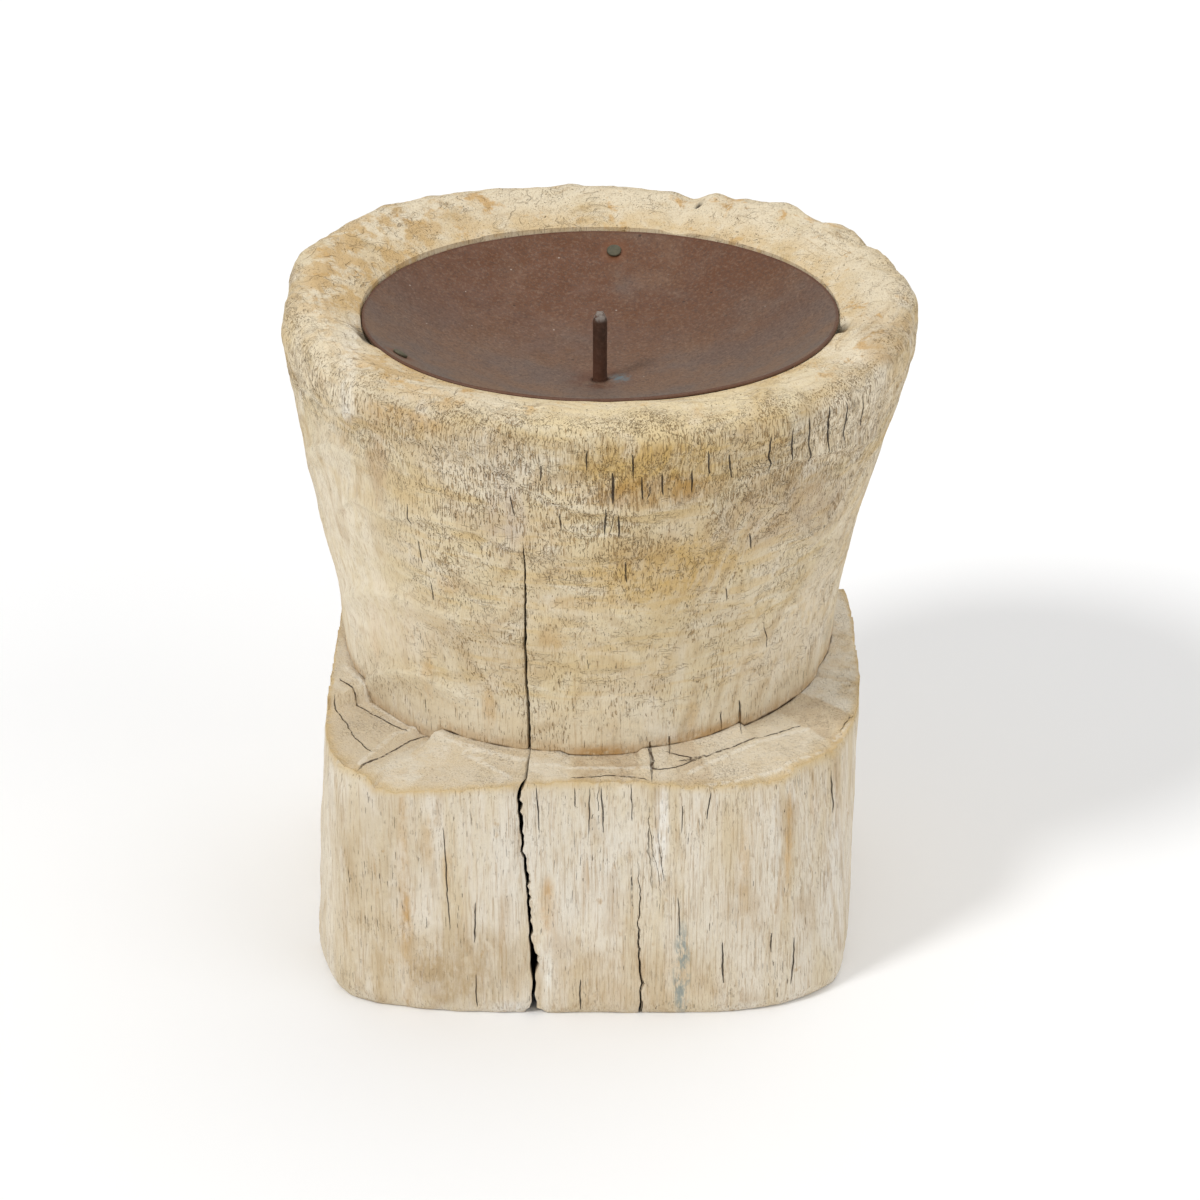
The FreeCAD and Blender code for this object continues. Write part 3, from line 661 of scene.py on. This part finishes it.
def wear_and_hollow_shade(grid):
    """Chips, gaps and the worn notch in the rim: lowering in millimetres, and painted shade in the pits and
    in the gaps beside the plate.
    """
    azimuths = polar(grid)
    radius, z = np.hypot(grid[..., 0], grid[..., 1]), grid[..., 2]
    lower = 2.6 * bump_at(azimuths, 70.5, 5) * smooth((z - 212) / 6)
    lower += bump_at(azimuths, 62, 3) * smooth((z - 214) / 6)
    near_plate = smooth((84.5 - radius) / 3.5) * smooth(radius - 78) * (z > 200)
    gap = bump_at(azimuths, 350, 6)
    lower += near_plate * (2.2 * bump_at(azimuths, 197, 11) + 2.4 * gap)
    # Painted shade in the gaps between the wood and the plate, and below in the pits.
    dark = near_plate * 0.55 * (bump_at(azimuths, 197, 10) + gap)
    for *place, reach, depth in HOLES:
        share = smooth(1 - np.linalg.norm(grid - place, axis=-1) / reach)
        lower += depth * share
        dark = np.maximum(dark, 0.8 * share)
    return lower, dark


def ledge_tints(azimuths, zones):
    """Brown and white shares of the ledge, the white in part painted light where the cup shades the ledge,
    and, fading upwards, the painted shade of the band over its crease.
    """
    brown, white_wear_and_light, crease_band_shade = np.zeros((3,) + azimuths.shape)
    ledge, foot = zones["ledge"], zones["wall"].start
    for start, end, brown_share, white_share in LEDGE_TINTS:
        inside = (azimuths[ledge] > start) & (azimuths[ledge] < end)
        brown[ledge] += inside * brown_share
        white_wear_and_light[ledge] += inside * white_share
    strength = 0.45 + 0.75 * bump_at(azimuths[foot], 270.5, 9) + 0.4 * bump_at(azimuths[foot], 297, 14)
    # Painted shade: a band over the crease, fading upwards.
    for row, share in enumerate((1, 1, 1, 0.9, 0.5, 0.15)):
        crease_band_shade[foot + row] = share * np.minimum(strength, 1)
    return brown, white_wear_and_light, crease_band_shade


def build_wood():
    """The carved mortar as one closed mesh, with what its material needs at every point."""
    grid, marks, zones = wood_grid()
    shape = rows, count = grid.shape[:2]
    normals = grid_normals(grid)
    waves = ring_waves(grid)
    azimuths = polar(grid)
    arcs = np.zeros(shape)
    wall, slope = zones["wall"], zones["slope"]
    arcs[wall] = arc_relief(azimuths[wall], grid[wall, :, 2])
    moved = grid + normals * wood_relief(grid, zones, waves, arcs)[..., None]
    lowering, pits = wear_and_hollow_shade(grid)
    moved[..., 2] -= lowering
    inward = -normals * (1, 1, 0)
    inward /= np.maximum(np.linalg.norm(inward, axis=-1, keepdims=True), 1e-6)
    moved += inward * marks[..., :1]

    foot, rim = wall.start, zones["ledge"].start
    ragged = np.clip(0.55 + 0.9 * field(grid[foot], 7, 8, 2), 0.15, 1)
    moved[foot] += inward[foot] * ragged[:, None]
    moved[foot, :, 2] -= 0.7 * ragged
    chips = np.clip(field(grid[rim], 5, 12) * 2.6 - 0.35, 0, 1.3)
    for row, share in ((rim - 2, 0.25), (rim - 1, 1), (rim, 0.9), (rim + 1, 0.4)):
        moved[row, :, 2] -= share * chips
        moved[row] += inward[row] * (0.4 * share * chips)[:, None]
    moved[..., 2] = np.maximum(moved[..., 2], 0)

    points = np.concatenate([moved.reshape(-1, 3), [[0, 0, 0], [0, 0, HOLLOW_FLOOR]]])
    faces = ring_faces(rows, count)
    total = rows * count
    for column in range(count):
        after = (column + 1) % count
        faces.append((total, after, column))
        faces.append((total + 1, total - count + column, total - count + after))
    wood = mesh_object("wood", points, faces)
    wood.data.set_sharp_from_angle(angle=math.radians(38))

    crease_shade, mouth, inner, edge, ledge = np.zeros((5,) + shape)
    # Painted shade along the crease at the cup's foot.
    crease_shade[foot - 1:foot + 2] = np.array([[0.45], [1], [0.7]]) * ragged
    ledge[zones["ledge"]] = 1
    edge[rim - 2:rim + 2] = [[0.35], [1], [0.8], [0.3]]
    mouth[slope.start - 7:slope.start] = np.linspace(0, 1, 8)[1:, None]
    mouth[slope.start:] = 1
    # Painted shade: the inner slope is coloured darker towards the plate.
    inner[slope] = smooth(np.linspace(-0.3, 1.2, SLOPE_ROWS))[:, None]
    brown, white_wear_and_light, crease_band_shade = ledge_tints(azimuths, zones)
    tint, tint_share = tint_fields(grid)
    # Painted shade: the crack value darkens the cracks, the pits and the gaps beside the plate.
    fields = {"crack": np.maximum(marks[..., 1], pits), "crease_shade": crease_shade, "ring": waves, "ledge": ledge,
              "brown": brown, "white_wear_and_light": white_wear_and_light, "crease_band_shade": crease_band_shade, "arc": arcs, "mouth": mouth, "inner": inner,
              "edge": edge, "tint_share": tint_share}
    for name, lines in (("check", front_checks(grid)), ("ridge_highlight", plan_lines(grid, LEDGE_RIDGES)),
                        ("dark_line", plan_lines(grid, LEDGE_CHECKS))):
        fields.update(zip((name + "_off", name, name + "_half"), nearest_line(shape, lines)))
    for name, values in fields.items():
        layer = wood.data.attributes.new(name, "FLOAT", "POINT")
        layer.data.foreach_set("value", np.append(values, [0, 0]).astype(np.float32))
    flat = np.ones((total + 2, 4))
    flat[:-2, :3] = tint.reshape(-1, 3)
    layer = wood.data.attributes.new("tint", "FLOAT_COLOR", "POINT")
    layer.data.foreach_set("color", flat.ravel())
    return wood


def build_dish():
    """The dished sheet, gently uneven, with its centre hole."""
    radii = [DISH_HOLE, *np.linspace(4, DISH_RADIUS - 0.5, 58), DISH_RADIUS - 0.12, DISH_RADIUS]
    angles = whole_turn(180)
    grid = []
    for curve, side in ((DISH_CURVE_RADIUS, radii), (DISH_CURVE_RADIUS + SHEET, radii[::-1])):
        for radius in side:
            across = radius * curve / DISH_CURVE_RADIUS if radius > DISH_HOLE else radius
            grid.append(ring(angles, across, DISH_CENTRE_HEIGHT - math.sqrt(curve**2 - across**2)))
    grid = np.array(grid)
    wave = field(grid, 34, 11, 2, 0) * 0.16
    grid[..., 2] += wave * smooth((np.hypot(grid[..., 0], grid[..., 1]) - 6) / 12)
    faces = ring_faces(len(grid) + 1, len(angles))
    total = len(grid) * len(angles)
    return mesh_object("dish", grid, [[corner % total for corner in face[::-1]] for face in faces])


def build_spike():
    """Wire nail with a neck, a slightly pitted shank and a blunt four-sided point."""
    levels = (SHANK_HEIGHT, *np.linspace(SHANK_HEIGHT + 0.6, POINT_HEIGHT, 36))
    angles = whole_turn(48)
    grid = []
    for radius, height in (*SPIKE_HEAD, *((WIRE_RADIUS, level) for level in levels), *SPIKE_POINT):
        if height > POINT_HEIGHT:
            half = WIRE_RADIUS - POINT_TAPER * (height - POINT_HEIGHT)
            radius = np.minimum(radius, half * square_reach(angles))
        elif height >= SHANK_HEIGHT:
            pits = field(ring(angles, WIRE_RADIUS, height), 2.6, 21, 2)
            radius = radius - 0.1 * np.maximum(pits, 0)
        grid.append(ring(angles, radius, height))
    return mesh_object("spike", grid, ring_faces(len(grid), len(angles)))


def build_nail(name, azimuth):
    """Flat nail head, slightly domed and dented, on its square tapering shank."""
    angle = math.radians(azimuth)
    seat = DISH_CENTRE_HEIGHT - math.sqrt(DISH_CURVE_RADIUS**2 - NAIL_RADIUS**2)
    foot = Vector((NAIL_RADIUS * math.cos(angle), NAIL_RADIUS * math.sin(angle), seat))
    upright = Vector((0, 0, DISH_CENTRE_HEIGHT)) - foot
    turn = Vector((0, 0, 1)).rotation_difference(upright.normalized())
    angles = whole_turn(32)
    points = []
    for radius, height in NAIL_SHANK:
        points += list(ring(angles, radius * square_reach(angles), height))
    for radius, height in NAIL_HEAD:
        for place in map(Vector, ring(angles, radius, height)):
            dent = noise.noise(place / 1.6 + Vector((azimuth, 0, 0)))
            place *= 1 + 0.03 * dent
            place.z = min(place.z + 0.06 * dent * (height > 0.5), 1.15)
            points.append(place)
    points = [tuple(foot + turn @ Vector(place)) for place in points]
    faces = ring_faces(len(NAIL_SHANK + NAIL_HEAD), len(angles))
    top = len(points) - len(angles)
    faces += [list(range(len(angles)))[::-1], list(range(top, len(points)))]
    return mesh_object(name, points, faces)


class Graph:
    """Shader nodes of one material. Values are plain numbers or sockets made earlier."""

    def __init__(self, name, colour):
        self.colour = colour
        self.material = bpy.data.materials.new(name)
        self.material.use_nodes = True
        self.tree = self.material.node_tree
        self.shader = self.tree.nodes["Principled BSDF"]
        self.place = self.node("ShaderNodeTexCoord").outputs["Object"]
        self.x, self.y, self.z = self.node("ShaderNodeSeparateXYZ", {0: self.place}).outputs

    def feed(self, socket, value):
        """Links or sets a socket."""
        if isinstance(value, bpy.types.NodeSocket):
            self.tree.links.new(value, socket)
        else:
            socket.default_value = value

    def node(self, kind, feeds=(), **settings):
        """New node with settings and with sockets fed by name or number."""
        made = self.tree.nodes.new(kind)
        for key, value in settings.items():
            setattr(made, key, value)
        for key, value in dict(feeds).items():
            self.feed(made.inputs[key], value)
        return made

    def math(self, operation, *values):
        return self.node("ShaderNodeMath", enumerate(values), operation=operation).outputs[0]

    def product(self, *values):
        return functools.reduce(lambda first, second: self.math("MULTIPLY", first, second), values)

    def most(self, *values):
        return functools.reduce(lambda first, second: self.math("MAXIMUM", first, second), values)

    def less(self, value, share):
        """1, and less by a share where the value is high."""
        return self.math("MULTIPLY_ADD", value, -share, 1)

    def distance(self, across=0, along=0):
        """Distance in plan from a place in metres."""
        first, second = self.math("SUBTRACT", self.x, across), self.math("SUBTRACT", self.y, along)
        return self.math("SQRT", self.math("ADD", self.product(first, first), self.product(second, second)))

    def stretch(self, across, upright, offset=0):
        """Place scaled so that noise lumps are these sizes in millimetres."""
        scale = (1 / (across * MM), 1 / (across * MM), 1 / (upright * MM))
        feeds = {"Vector": self.place, "Scale": scale, "Location": (offset, offset * 0.7, offset * 1.3)}
        return self.node("ShaderNodeMapping", feeds).outputs[0]

    def noise(self, across, upright, detail=2, rough=0.5, seed=0, warp=0, output="Fac"):
        feeds = {"Vector": self.stretch(across, upright, seed), "Scale": 1, "Detail": detail,
                 "Roughness": rough, "Distortion": warp}
        return self.node("ShaderNodeTexNoise", feeds).outputs[output]

    def spots(self, low, high, *sizes, **settings):
        """Noise between two of its levels, as a mask from 0 to 1."""
        return self.remap(self.noise(*sizes, **settings), low, high)

    def cells(self, size, seed, wander):
        """Distance from scattered points, shaken by a noise."""
        shift = self.noise(size * 1.3, size * 1.3, seed=seed + 3, output="Color")
        feeds = {0: shift, 1: (wander, wander, wander), 2: self.stretch(size, size, seed)}
        shaken = self.node("ShaderNodeVectorMath", feeds, operation="MULTIPLY_ADD").outputs[0]
        made = self.node("ShaderNodeTexVoronoi", {"Vector": shaken, "Scale": 1}, feature="F1")
        return made.outputs["Distance"]

    def wrinkles(self, across, upright, width, seed, detail=1, warp=0.6):
        """Thin wandering lines where a noise passes its middle value."""
        level = self.noise(across, upright, detail, seed=seed, warp=warp)
        return self.remap(self.math("ABSOLUTE", self.math("SUBTRACT", level, 0.5)), width, width * 0.3)

    def remap(self, *values):
        """Smooth step of a value from low to high, and between two other numbers if they are given."""
        return self.node("ShaderNodeMapRange", enumerate(values), interpolation_type="SMOOTHSTEP").outputs[0]

    def mix(self, share, first, second):
        return self.node("ShaderNodeMix", {"Factor": share, 6: first, 7: second}, data_type="RGBA").outputs[2]

    def coat(self, display, *masks):
        """Lays a display colour over the colour so far, by the product of masks."""
        self.colour = self.mix(self.product(*masks), self.colour, tone(*display))

    def value(self, name, output="Fac"):
        """What the mesh carries under a name."""
        return self.node("ShaderNodeAttribute", attribute_name=name).outputs[output]

    def bump(self, height, distance, **under):
        """Normal of a surface raised by up to a distance in millimetres, over another normal."""
        feeds = {"Height": height, "Distance": distance * MM, "Strength": 1, **under}
        return self.node("ShaderNodeBump", feeds).outputs[0]

    def patch(self, across, height, reach_across, reach_up):
        """Soft oval spot at a place on the front, in millimetres."""
        first = self.math("MULTIPLY", self.math("SUBTRACT", self.x, across * MM), 1 / (reach_across * MM))
        second = self.math("MULTIPLY", self.math("SUBTRACT", self.z, height * MM), 1 / (reach_up * MM))
        both = self.math("ADD", self.product(first, first), self.product(second, second))
        return self.product(self.remap(both, 1, 0.15), self.remap(self.y, 0, -0.03))

    def line(self, name, wave, narrow=1, soft=0.12):
        """Mask of the thin lines whose distances in millimetres the mesh carries."""
        aside = self.math("ADD", self.value(name), self.math("MULTIPLY_ADD", self.wander, wave, -wave / 2))
        half = self.math("MULTIPLY", self.value(name + "_half"), narrow)
        mask = self.remap(self.math("SUBTRACT", half, self.math("ABSOLUTE", aside)), -soft, soft)
        return self.product(mask, self.remap(self.value(name + "_off"), 1.6, 1.1), self.remap(half, 0, 0.08))

    def finish(self, roughness, normal):
        for name, value in (("Base Color", self.colour), ("Roughness", roughness), ("Normal", normal)):
            self.feed(self.shader.inputs[name], value)
        return self.material


def wood_material():
    """Bleached, dry hardwood: straw and cream patches, ochre streaks, pores, crackle and checks."""
    g = Graph("bleached wood", tone(213, 196, 165))
    g.wander = g.noise(3, 5, 1, seed=40)
    wall = g.remap(g.z, 0.093, 0.12)
    upper = g.remap(g.z, 0.15, 0.185)
    low = g.remap(g.z, 0.09, 0.08)
    mouth = g.value("mouth")
    calm = g.product(g.remap(g.y, 0, -0.03), wall, g.remap(g.x, -0.048, -0.072), g.remap(g.z, 0.198, 0.186))
    rowdy = g.less(calm, 0.85)

    # Broad patches and bands
    g.coat((219, 205, 178), g.spots(0.36, 0.64, 34, 50, 3))
    g.coat((217, 199, 159), wall, g.spots(0.34, 0.66, 26, 16, 4, seed=5), 0.7)
    g.coat((210, 181, 126), wall, g.spots(0.48, 0.62, 26, 3.4, 4, 0.55, seed=6), rowdy, 0.5)
    g.coat((234, 224, 202), wall, g.spots(0.54, 0.66, 22, 4.6, 4, 0.55, seed=7), rowdy, 0.5)
    g.coat((204, 176, 126), upper, g.spots(0.46, 0.62, 20, 10, 4, seed=9), 0.5)
    g.coat((230, 222, 208), low, g.spots(0.34, 0.62, 8, 60, 4, 0.6, seed=2), 0.76)
    g.coat((232, 223, 206), g.spots(0.56, 0.7, 13, 18, 4, 0.6, seed=14), 0.5)
    g.coat((232, 218, 190), mouth, g.spots(0.24, 0.54, 16, 16, 4, 0.6, seed=17), 0.9)
    g.coat((206, 164, 102), mouth, g.spots(0.55, 0.66, 9, 9, 5, 0.65, seed=16), 0.8)
    # Painted shade: browner lower inner slope, below the lighter crest.
    g.coat((214, 184, 132), g.value("inner"), g.spots(0.3, 0.58, 7, 10, 4, 0.65, seed=15), 0.6)
    # Painted shade: darker ochre on the left inner wall of the mouth.
    left = g.spots(0.42, 0.56, 9, 9, 4, 0.6, seed=18)
    g.coat((206, 170, 112), mouth, g.remap(g.x, -0.03, -0.07), left, 0.75)

    # Tinted places, some on the left partly painted light, streaks and blotches
    ragged = g.remap(g.noise(4.5, 9, 4, 0.7, seed=19), 0.36, 0.6, 0.4, 1)
    g.colour = g.mix(g.product(g.value("tint_share"), ragged), g.colour, g.value("tint", "Color"))
    g.coat((192, 158, 112), low, g.spots(0.6, 0.74, 5, 60, 3, 0.6, seed=21), 0.45)
    g.coat((180, 144, 92), g.spots(0.64, 0.76, 4.5, 8, 4, 0.65, seed=27), 0.55)

    # Growth rings, grain and the base's upright lines
    rings, some = g.value("ring"), g.spots(0.42, 0.62, 16, 16, 2, seed=33)
    g.coat((176, 146, 102), g.remap(rings, 0.7, 1), some, 0.35)
    g.coat((228, 220, 202), g.remap(rings, 0.3, 0), some, 0.25)
    grain = g.noise(0.7, 12, 2, 0.6, seed=50)
    g.coat((172, 140, 98), g.remap(grain, 0.52, 0.72), 0.4)
    dense = g.product(g.spots(0.38, 0.58, 18, 40, 2, seed=53), 0.8)
    dense = g.most(dense, g.remap(g.x, -0.01, 0.03))
    g.coat((168, 142, 106), g.spots(0.545, 0.615, 0.45, 26, 2, 0.6, seed=52), dense, low, 0.5)
    g.coat((236, 225, 199), g.remap(g.value("arc"), 0.35, 0.75), 0.3)

    # Pores: short dashes, crowded high on the cup, and few long ones
    dashes = g.noise(0.5, 3.4, seed=60, warp=0.1)
    busy = g.math("MULTIPLY_ADD", upper, 0.16, g.noise(16, 14, 3, seed=61))
    busy = g.math("MULTIPLY_ADD", mouth, -0.26, g.math("MULTIPLY_ADD", wall, 0.02, busy))
    dashes = g.remap(g.math("SUBTRACT", dashes, g.remap(busy, 0.35, 0.8, 0.71, 0.555)), 0, 0.032)
    dashes = g.product(dashes, rowdy, g.less(low, 0.75))
    g.coat((138, 104, 58), dashes, 0.6)
    few = g.remap(g.noise(13, 20, seed=67), 0.35, 0.7, 0.78, 0.68)
    pores = g.remap(g.math("SUBTRACT", g.noise(0.42, 7, 1, seed=66), few), 0, 0.03)
    pores = g.product(pores, rowdy)
    g.coat((88, 72, 54), pores, 0.75)

    # Ridged places under the lip
    ridged = g.most(g.patch(74, 193, 34, 20), g.product(g.patch(32, 194, 30, 16), 0.8),
                    g.product(g.patch(-14, 203, 64, 10), 0.75))
    ridges = g.noise(0.62, 9, 2, 0.55, seed=68)
    g.coat((148, 116, 68), g.remap(ridges, 0.51, 0.6), ridged, 0.5)

    # Crackle, curved lines and pits in the rim, and the checks
    zone = g.product(g.spots(0.4, 0.58, 26, 16, 2, seed=71), g.remap(g.z, 0.12, 0.185, 0.15, 1))
    broken = g.spots(0.46, 0.56, 3.4, 3.4, 2, 0.6, seed=72)
    crackle = g.product(g.wrinkles(1.2, 4.8, 0.034, 73, 1, 0.2), broken, zone, g.less(mouth, 0.85),
                        g.less(low, 0.8))
    across = g.product(g.wrinkles(6, 2.2, 0.03, 74), g.spots(0.52, 0.6, 8, 5, 2, seed=75), wall)
    crackle = g.product(g.most(crackle, g.product(across, 0.4)), rowdy)
    curved = g.product(g.wrinkles(11, 11, 0.01, 78, 2), g.spots(0.52, 0.62, 11, 11, 2, seed=79), mouth,
                       g.remap(g.x, 0.02, -0.05, 0.1, 0.8))
    pits = g.product(g.spots(0.66, 0.72, 1.1, 1.1, 2, 0.6, seed=81), g.spots(0.48, 0.6, 8, 8, 3, seed=82),
                     g.remap(g.z, 0.198, 0.206))
    crackle = g.most(crackle, curved, pits)
    g.coat((138, 102, 56), crackle, 0.46)
    checks = g.line("check", 0.9)
    g.coat((44, 32, 24), checks, 0.92)
    blue = g.most(g.patch(27, 17, 3.6, 23), g.product(g.patch(84, 104, 10, 6), 0.8))
    g.coat((140, 150, 146), blue, g.spots(0.38, 0.6, 1.6, 5, 3, 0.7, seed=80), 0.85)

    # The ledge, its edge, its lines with a painted highlight on the ridges, and the painted shade of the
    # band, crease and crack beside it
    fibres = g.spots(0.3, 0.64, 9, 1.2, 4, 0.6, seed=85)
    bands = g.spots(0.24, 0.52, 3.5, 3, 4, 0.6, seed=88)
    ledge = g.value("ledge")
    g.coat((228, 211, 182), ledge, g.remap(g.z, 0.0825, 0.0845), 0.3)
    g.coat((172, 138, 92), g.value("brown"), fibres, 0.8)
    # Pale worn wood, and on the right painted light where the cup shades the ledge.
    g.coat((228, 219, 201), g.value("white_wear_and_light"), fibres, 0.8)
    # Painted shade: brown band over the crease at the cup's foot.
    g.coat((178, 136, 80), g.value("crease_band_shade"), bands, 0.9)
    g.coat((212, 182, 124), g.value("edge"), bands, 0.6)
    on_ledge = g.product(g.remap(g.z, 0.083, 0.0845), ledge)
    broken = g.spots(0.34, 0.5, 2.2, 2.2, 2, seed=86)
    # Painted highlight along the raised ridges on the ledge.
    g.coat((242, 235, 220), g.line("ridge_highlight", 1, 0.7, 0.5), on_ledge, broken, 0.5)
    lines = g.product(g.line("dark_line", 1, 0.8, 0.2), on_ledge, g.math("MULTIPLY_ADD", broken, 0.7, 0.3))
    g.coat((70, 50, 34), lines, 0.9)
    # Painted shade in the crease round the cup's foot.
    g.coat((84, 60, 38), g.remap(g.value("crease_shade"), 0.12, 0.7, 0, 0.85))
    # Painted shade inside the cracks, pits and gaps beside the plate.
    g.coat((34, 25, 18), g.remap(g.value("crack"), 0.1, 0.75))

    normal = g.bump(grain, 0.45)
    normal = g.bump(g.less(g.most(dashes, pores), 1), 0.75, Normal=normal)
    normal = g.bump(g.product(ridges, ridged), 0.85, Normal=normal)
    normal = g.bump(g.less(g.most(crackle, checks, lines), 1), 0.7, Normal=normal)
    uneven = g.product(g.noise(2.6, 2, 4, 0.65, seed=97), g.less(mouth, 0.7), rowdy)
    g.shader.inputs["Specular IOR Level"].default_value = 0.25
    return g.finish(g.remap(g.noise(12, 20, 3, seed=95), 0.3, 0.7, 0.74, 0.92),
                    g.bump(uneven, 0.42, Normal=normal))


def iron_material(name, dark, warm, pale, rough, seed, metallic, back=None):
    """Brown iron with fine rust: two mottled tones, pale specks and pitting."""
    g = Graph(name, tone(*dark))
    g.coat(warm, g.spots(0.35, 0.65, 18, 18, 4, 0.6, seed=seed))
    if back:
        g.coat(back, g.remap(g.y, -0.035, 0.06), g.spots(0.12, 0.55, 22, 22, 4, seed=seed + 4), 0.9)
    g.coat(pale, g.spots(0.45, 0.75, 1.3, 1.3, 3, 0.7, seed=seed + 7), 0.35)
    specks = g.remap(g.cells(5.5, seed + 11, 0.2), 0.075, 0.045)
    g.coat((176, 160, 146), specks, g.spots(0.5, 0.56, 9, 9, 2, seed=seed + 13), 0.8)
    pits = g.remap(g.cells(7, seed + 17, 0.3), 0.1, 0.05)
    pits = g.product(pits, g.spots(0.55, 0.6, 12, 12, 2, seed=seed + 19))
    g.coat((52, 40, 34), pits, 0.7)
    g.rough = g.remap(g.noise(6, 6, 4, seed=seed + 23), 0.3, 0.7, *rough)
    fine = g.bump(g.noise(0.8, 0.8, 4, 0.7, seed=seed + 29), 0.1)
    g.normal = g.bump(g.less(pits, 1), 0.25, Normal=fine)
    g.shader.inputs["Metallic"].default_value = metallic
    return g


def dish_material():
    """Sheet iron, greyer at the front and redder at the back, with a heat tint by the spike."""
    g = iron_material("rusted sheet", (116, 101, 91), (130, 103, 82), (160, 134, 112), (0.5, 0.7), 3, 0.25,
                      (104, 62, 34))
    g.coat((78, 60, 50), g.spots(0.48, 0.64, 0.9, 0.9, 2, 0.7, seed=76), 0.5)
    reach = g.distance()
    g.coat((104, 64, 44), g.remap(reach, 0.016, 0.004), g.spots(0.35, 0.6, 4, 4, 3, seed=71), 0.6)
    heat = g.remap(g.distance(0.0068, 0.0006), 0.0055, 0.001)
    g.coat((104, 122, 128), heat, g.spots(0.35, 0.6, 1.8, 1.8, 3, seed=75), 0.8)
    g.coat((96, 56, 34), g.remap(reach, 0.0776, 0.0784, 0, 0.7))
    # Ring round each nail head: partly rust, partly painted shadow under the head.
    for azimuth in map(math.radians, NAIL_AZIMUTHS.values()):
        off = g.distance(NAIL_RADIUS * MM * math.cos(azimuth), NAIL_RADIUS * MM * math.sin(azimuth))
        g.coat((128, 80, 48), g.remap(off, 0.0062, 0.0024), 0.55)
    return g.finish(g.rough, g.normal)


def plain_iron(name, dark, warm, pale, seed, metallic, painted_tip_highlight=False):
    """Iron of one small piece, with a painted highlight on its point."""
    g = iron_material(name, dark, warm, pale, (0.45, 0.7), seed, metallic)
    if painted_tip_highlight:
        # Painted highlight: the top of the point is coloured pale grey for light caught there.
        tip_highlight_mask = g.spots(0.36, 0.52, 1.2, 1.2, 3, seed=77)
        g.coat((150, 142, 134), g.remap(g.z, 0.2092, 0.2112), tip_highlight_mask, 0.75)
    return g.finish(g.rough, g.normal)


def dress(made, material, node=None):
    """Gives an object one material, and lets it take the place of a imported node."""
    made.data.materials.clear()
    made.data.materials.append(material)
    if node:
        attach(made, "root")
        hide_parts(node)


def build_stage():
    """Pale floor, soft lamps, plain world and the camera."""
    corners = [(-4000, -4000, 0), (4000, -4000, 0), (4000, 6000, 0), (-4000, 6000, 0)]
    floor = mesh_object("floor", corners, [(0, 1, 2, 3)])
    g = Graph("pale floor", (0.955, 0.955, 0.955, 1))
    g.colour = g.mix(g.noise(400, 400), g.colour, (0.97, 0.97, 0.97, 1))
    g.shader.inputs["Specular IOR Level"].default_value = 0
    dress(floor, g.finish(0.9, g.bump(g.noise(2, 2), 0.01)))

    world = bpy.data.worlds.new("studio")
    bpy.context.scene.world = world
    world.use_nodes = True
    light = world.node_tree.nodes["Background"]
    light.inputs["Color"].default_value = (1, 1, 1, 1)
    light.inputs["Strength"].default_value = 0.54
    for name, place, spread, strength in (
        ("key", (-1, -0.75, 1.2), 12, 1.3),
        ("back", (0.4, 0.7, 1.8), 45, 0.6),
        ("right", (1.2, -0.8, 0.8), 50, 0.5),
    ):
        data = bpy.data.lights.new(name, "SUN")
        data.energy, data.angle = strength, math.radians(spread)
        lamp = add_object(name, data)
        lamp.location = place
        lamp.rotation_euler = (-Vector(place)).to_track_quat("-Z", "Y").to_euler()

    data = bpy.data.cameras.new("camera")
    data.lens, data.sensor_width = 96.3, 36
    camera = add_object("camera", data)
    camera.location = (0, -1, 0.588)
    camera.rotation_euler = (math.radians(64.3), 0, 0)
    bpy.context.scene.camera = camera
    bpy.context.scene.view_settings.view_transform = "Standard"


def main():
    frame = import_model()

    wire = plain_iron("spike wire", (66, 48, 38), (92, 60, 44), (120, 92, 76), 31, 0.3, painted_tip_highlight=True)
    weld = plain_iron("weld metal", (72, 70, 72), (92, 84, 80), (120, 112, 106), 37, 0.5)
    nail_iron = plain_iron("nail iron", (84, 82, 66), (104, 98, 78), (130, 122, 100), 43, 0.4)
    dress(build_wood(), wood_material(), "wood_block")
    dress(build_dish(), dish_material(), "candle_dish")
    dress(build_spike(), wire, "pricket_spike")
    for node, azimuth in NAIL_AZIMUTHS.items():
        dress(build_nail(node.replace("nail", "tack"), azimuth), nail_iron, node)
    dress(frame["nodes"]["spike_weld"], weld)
    build_stage()


main()
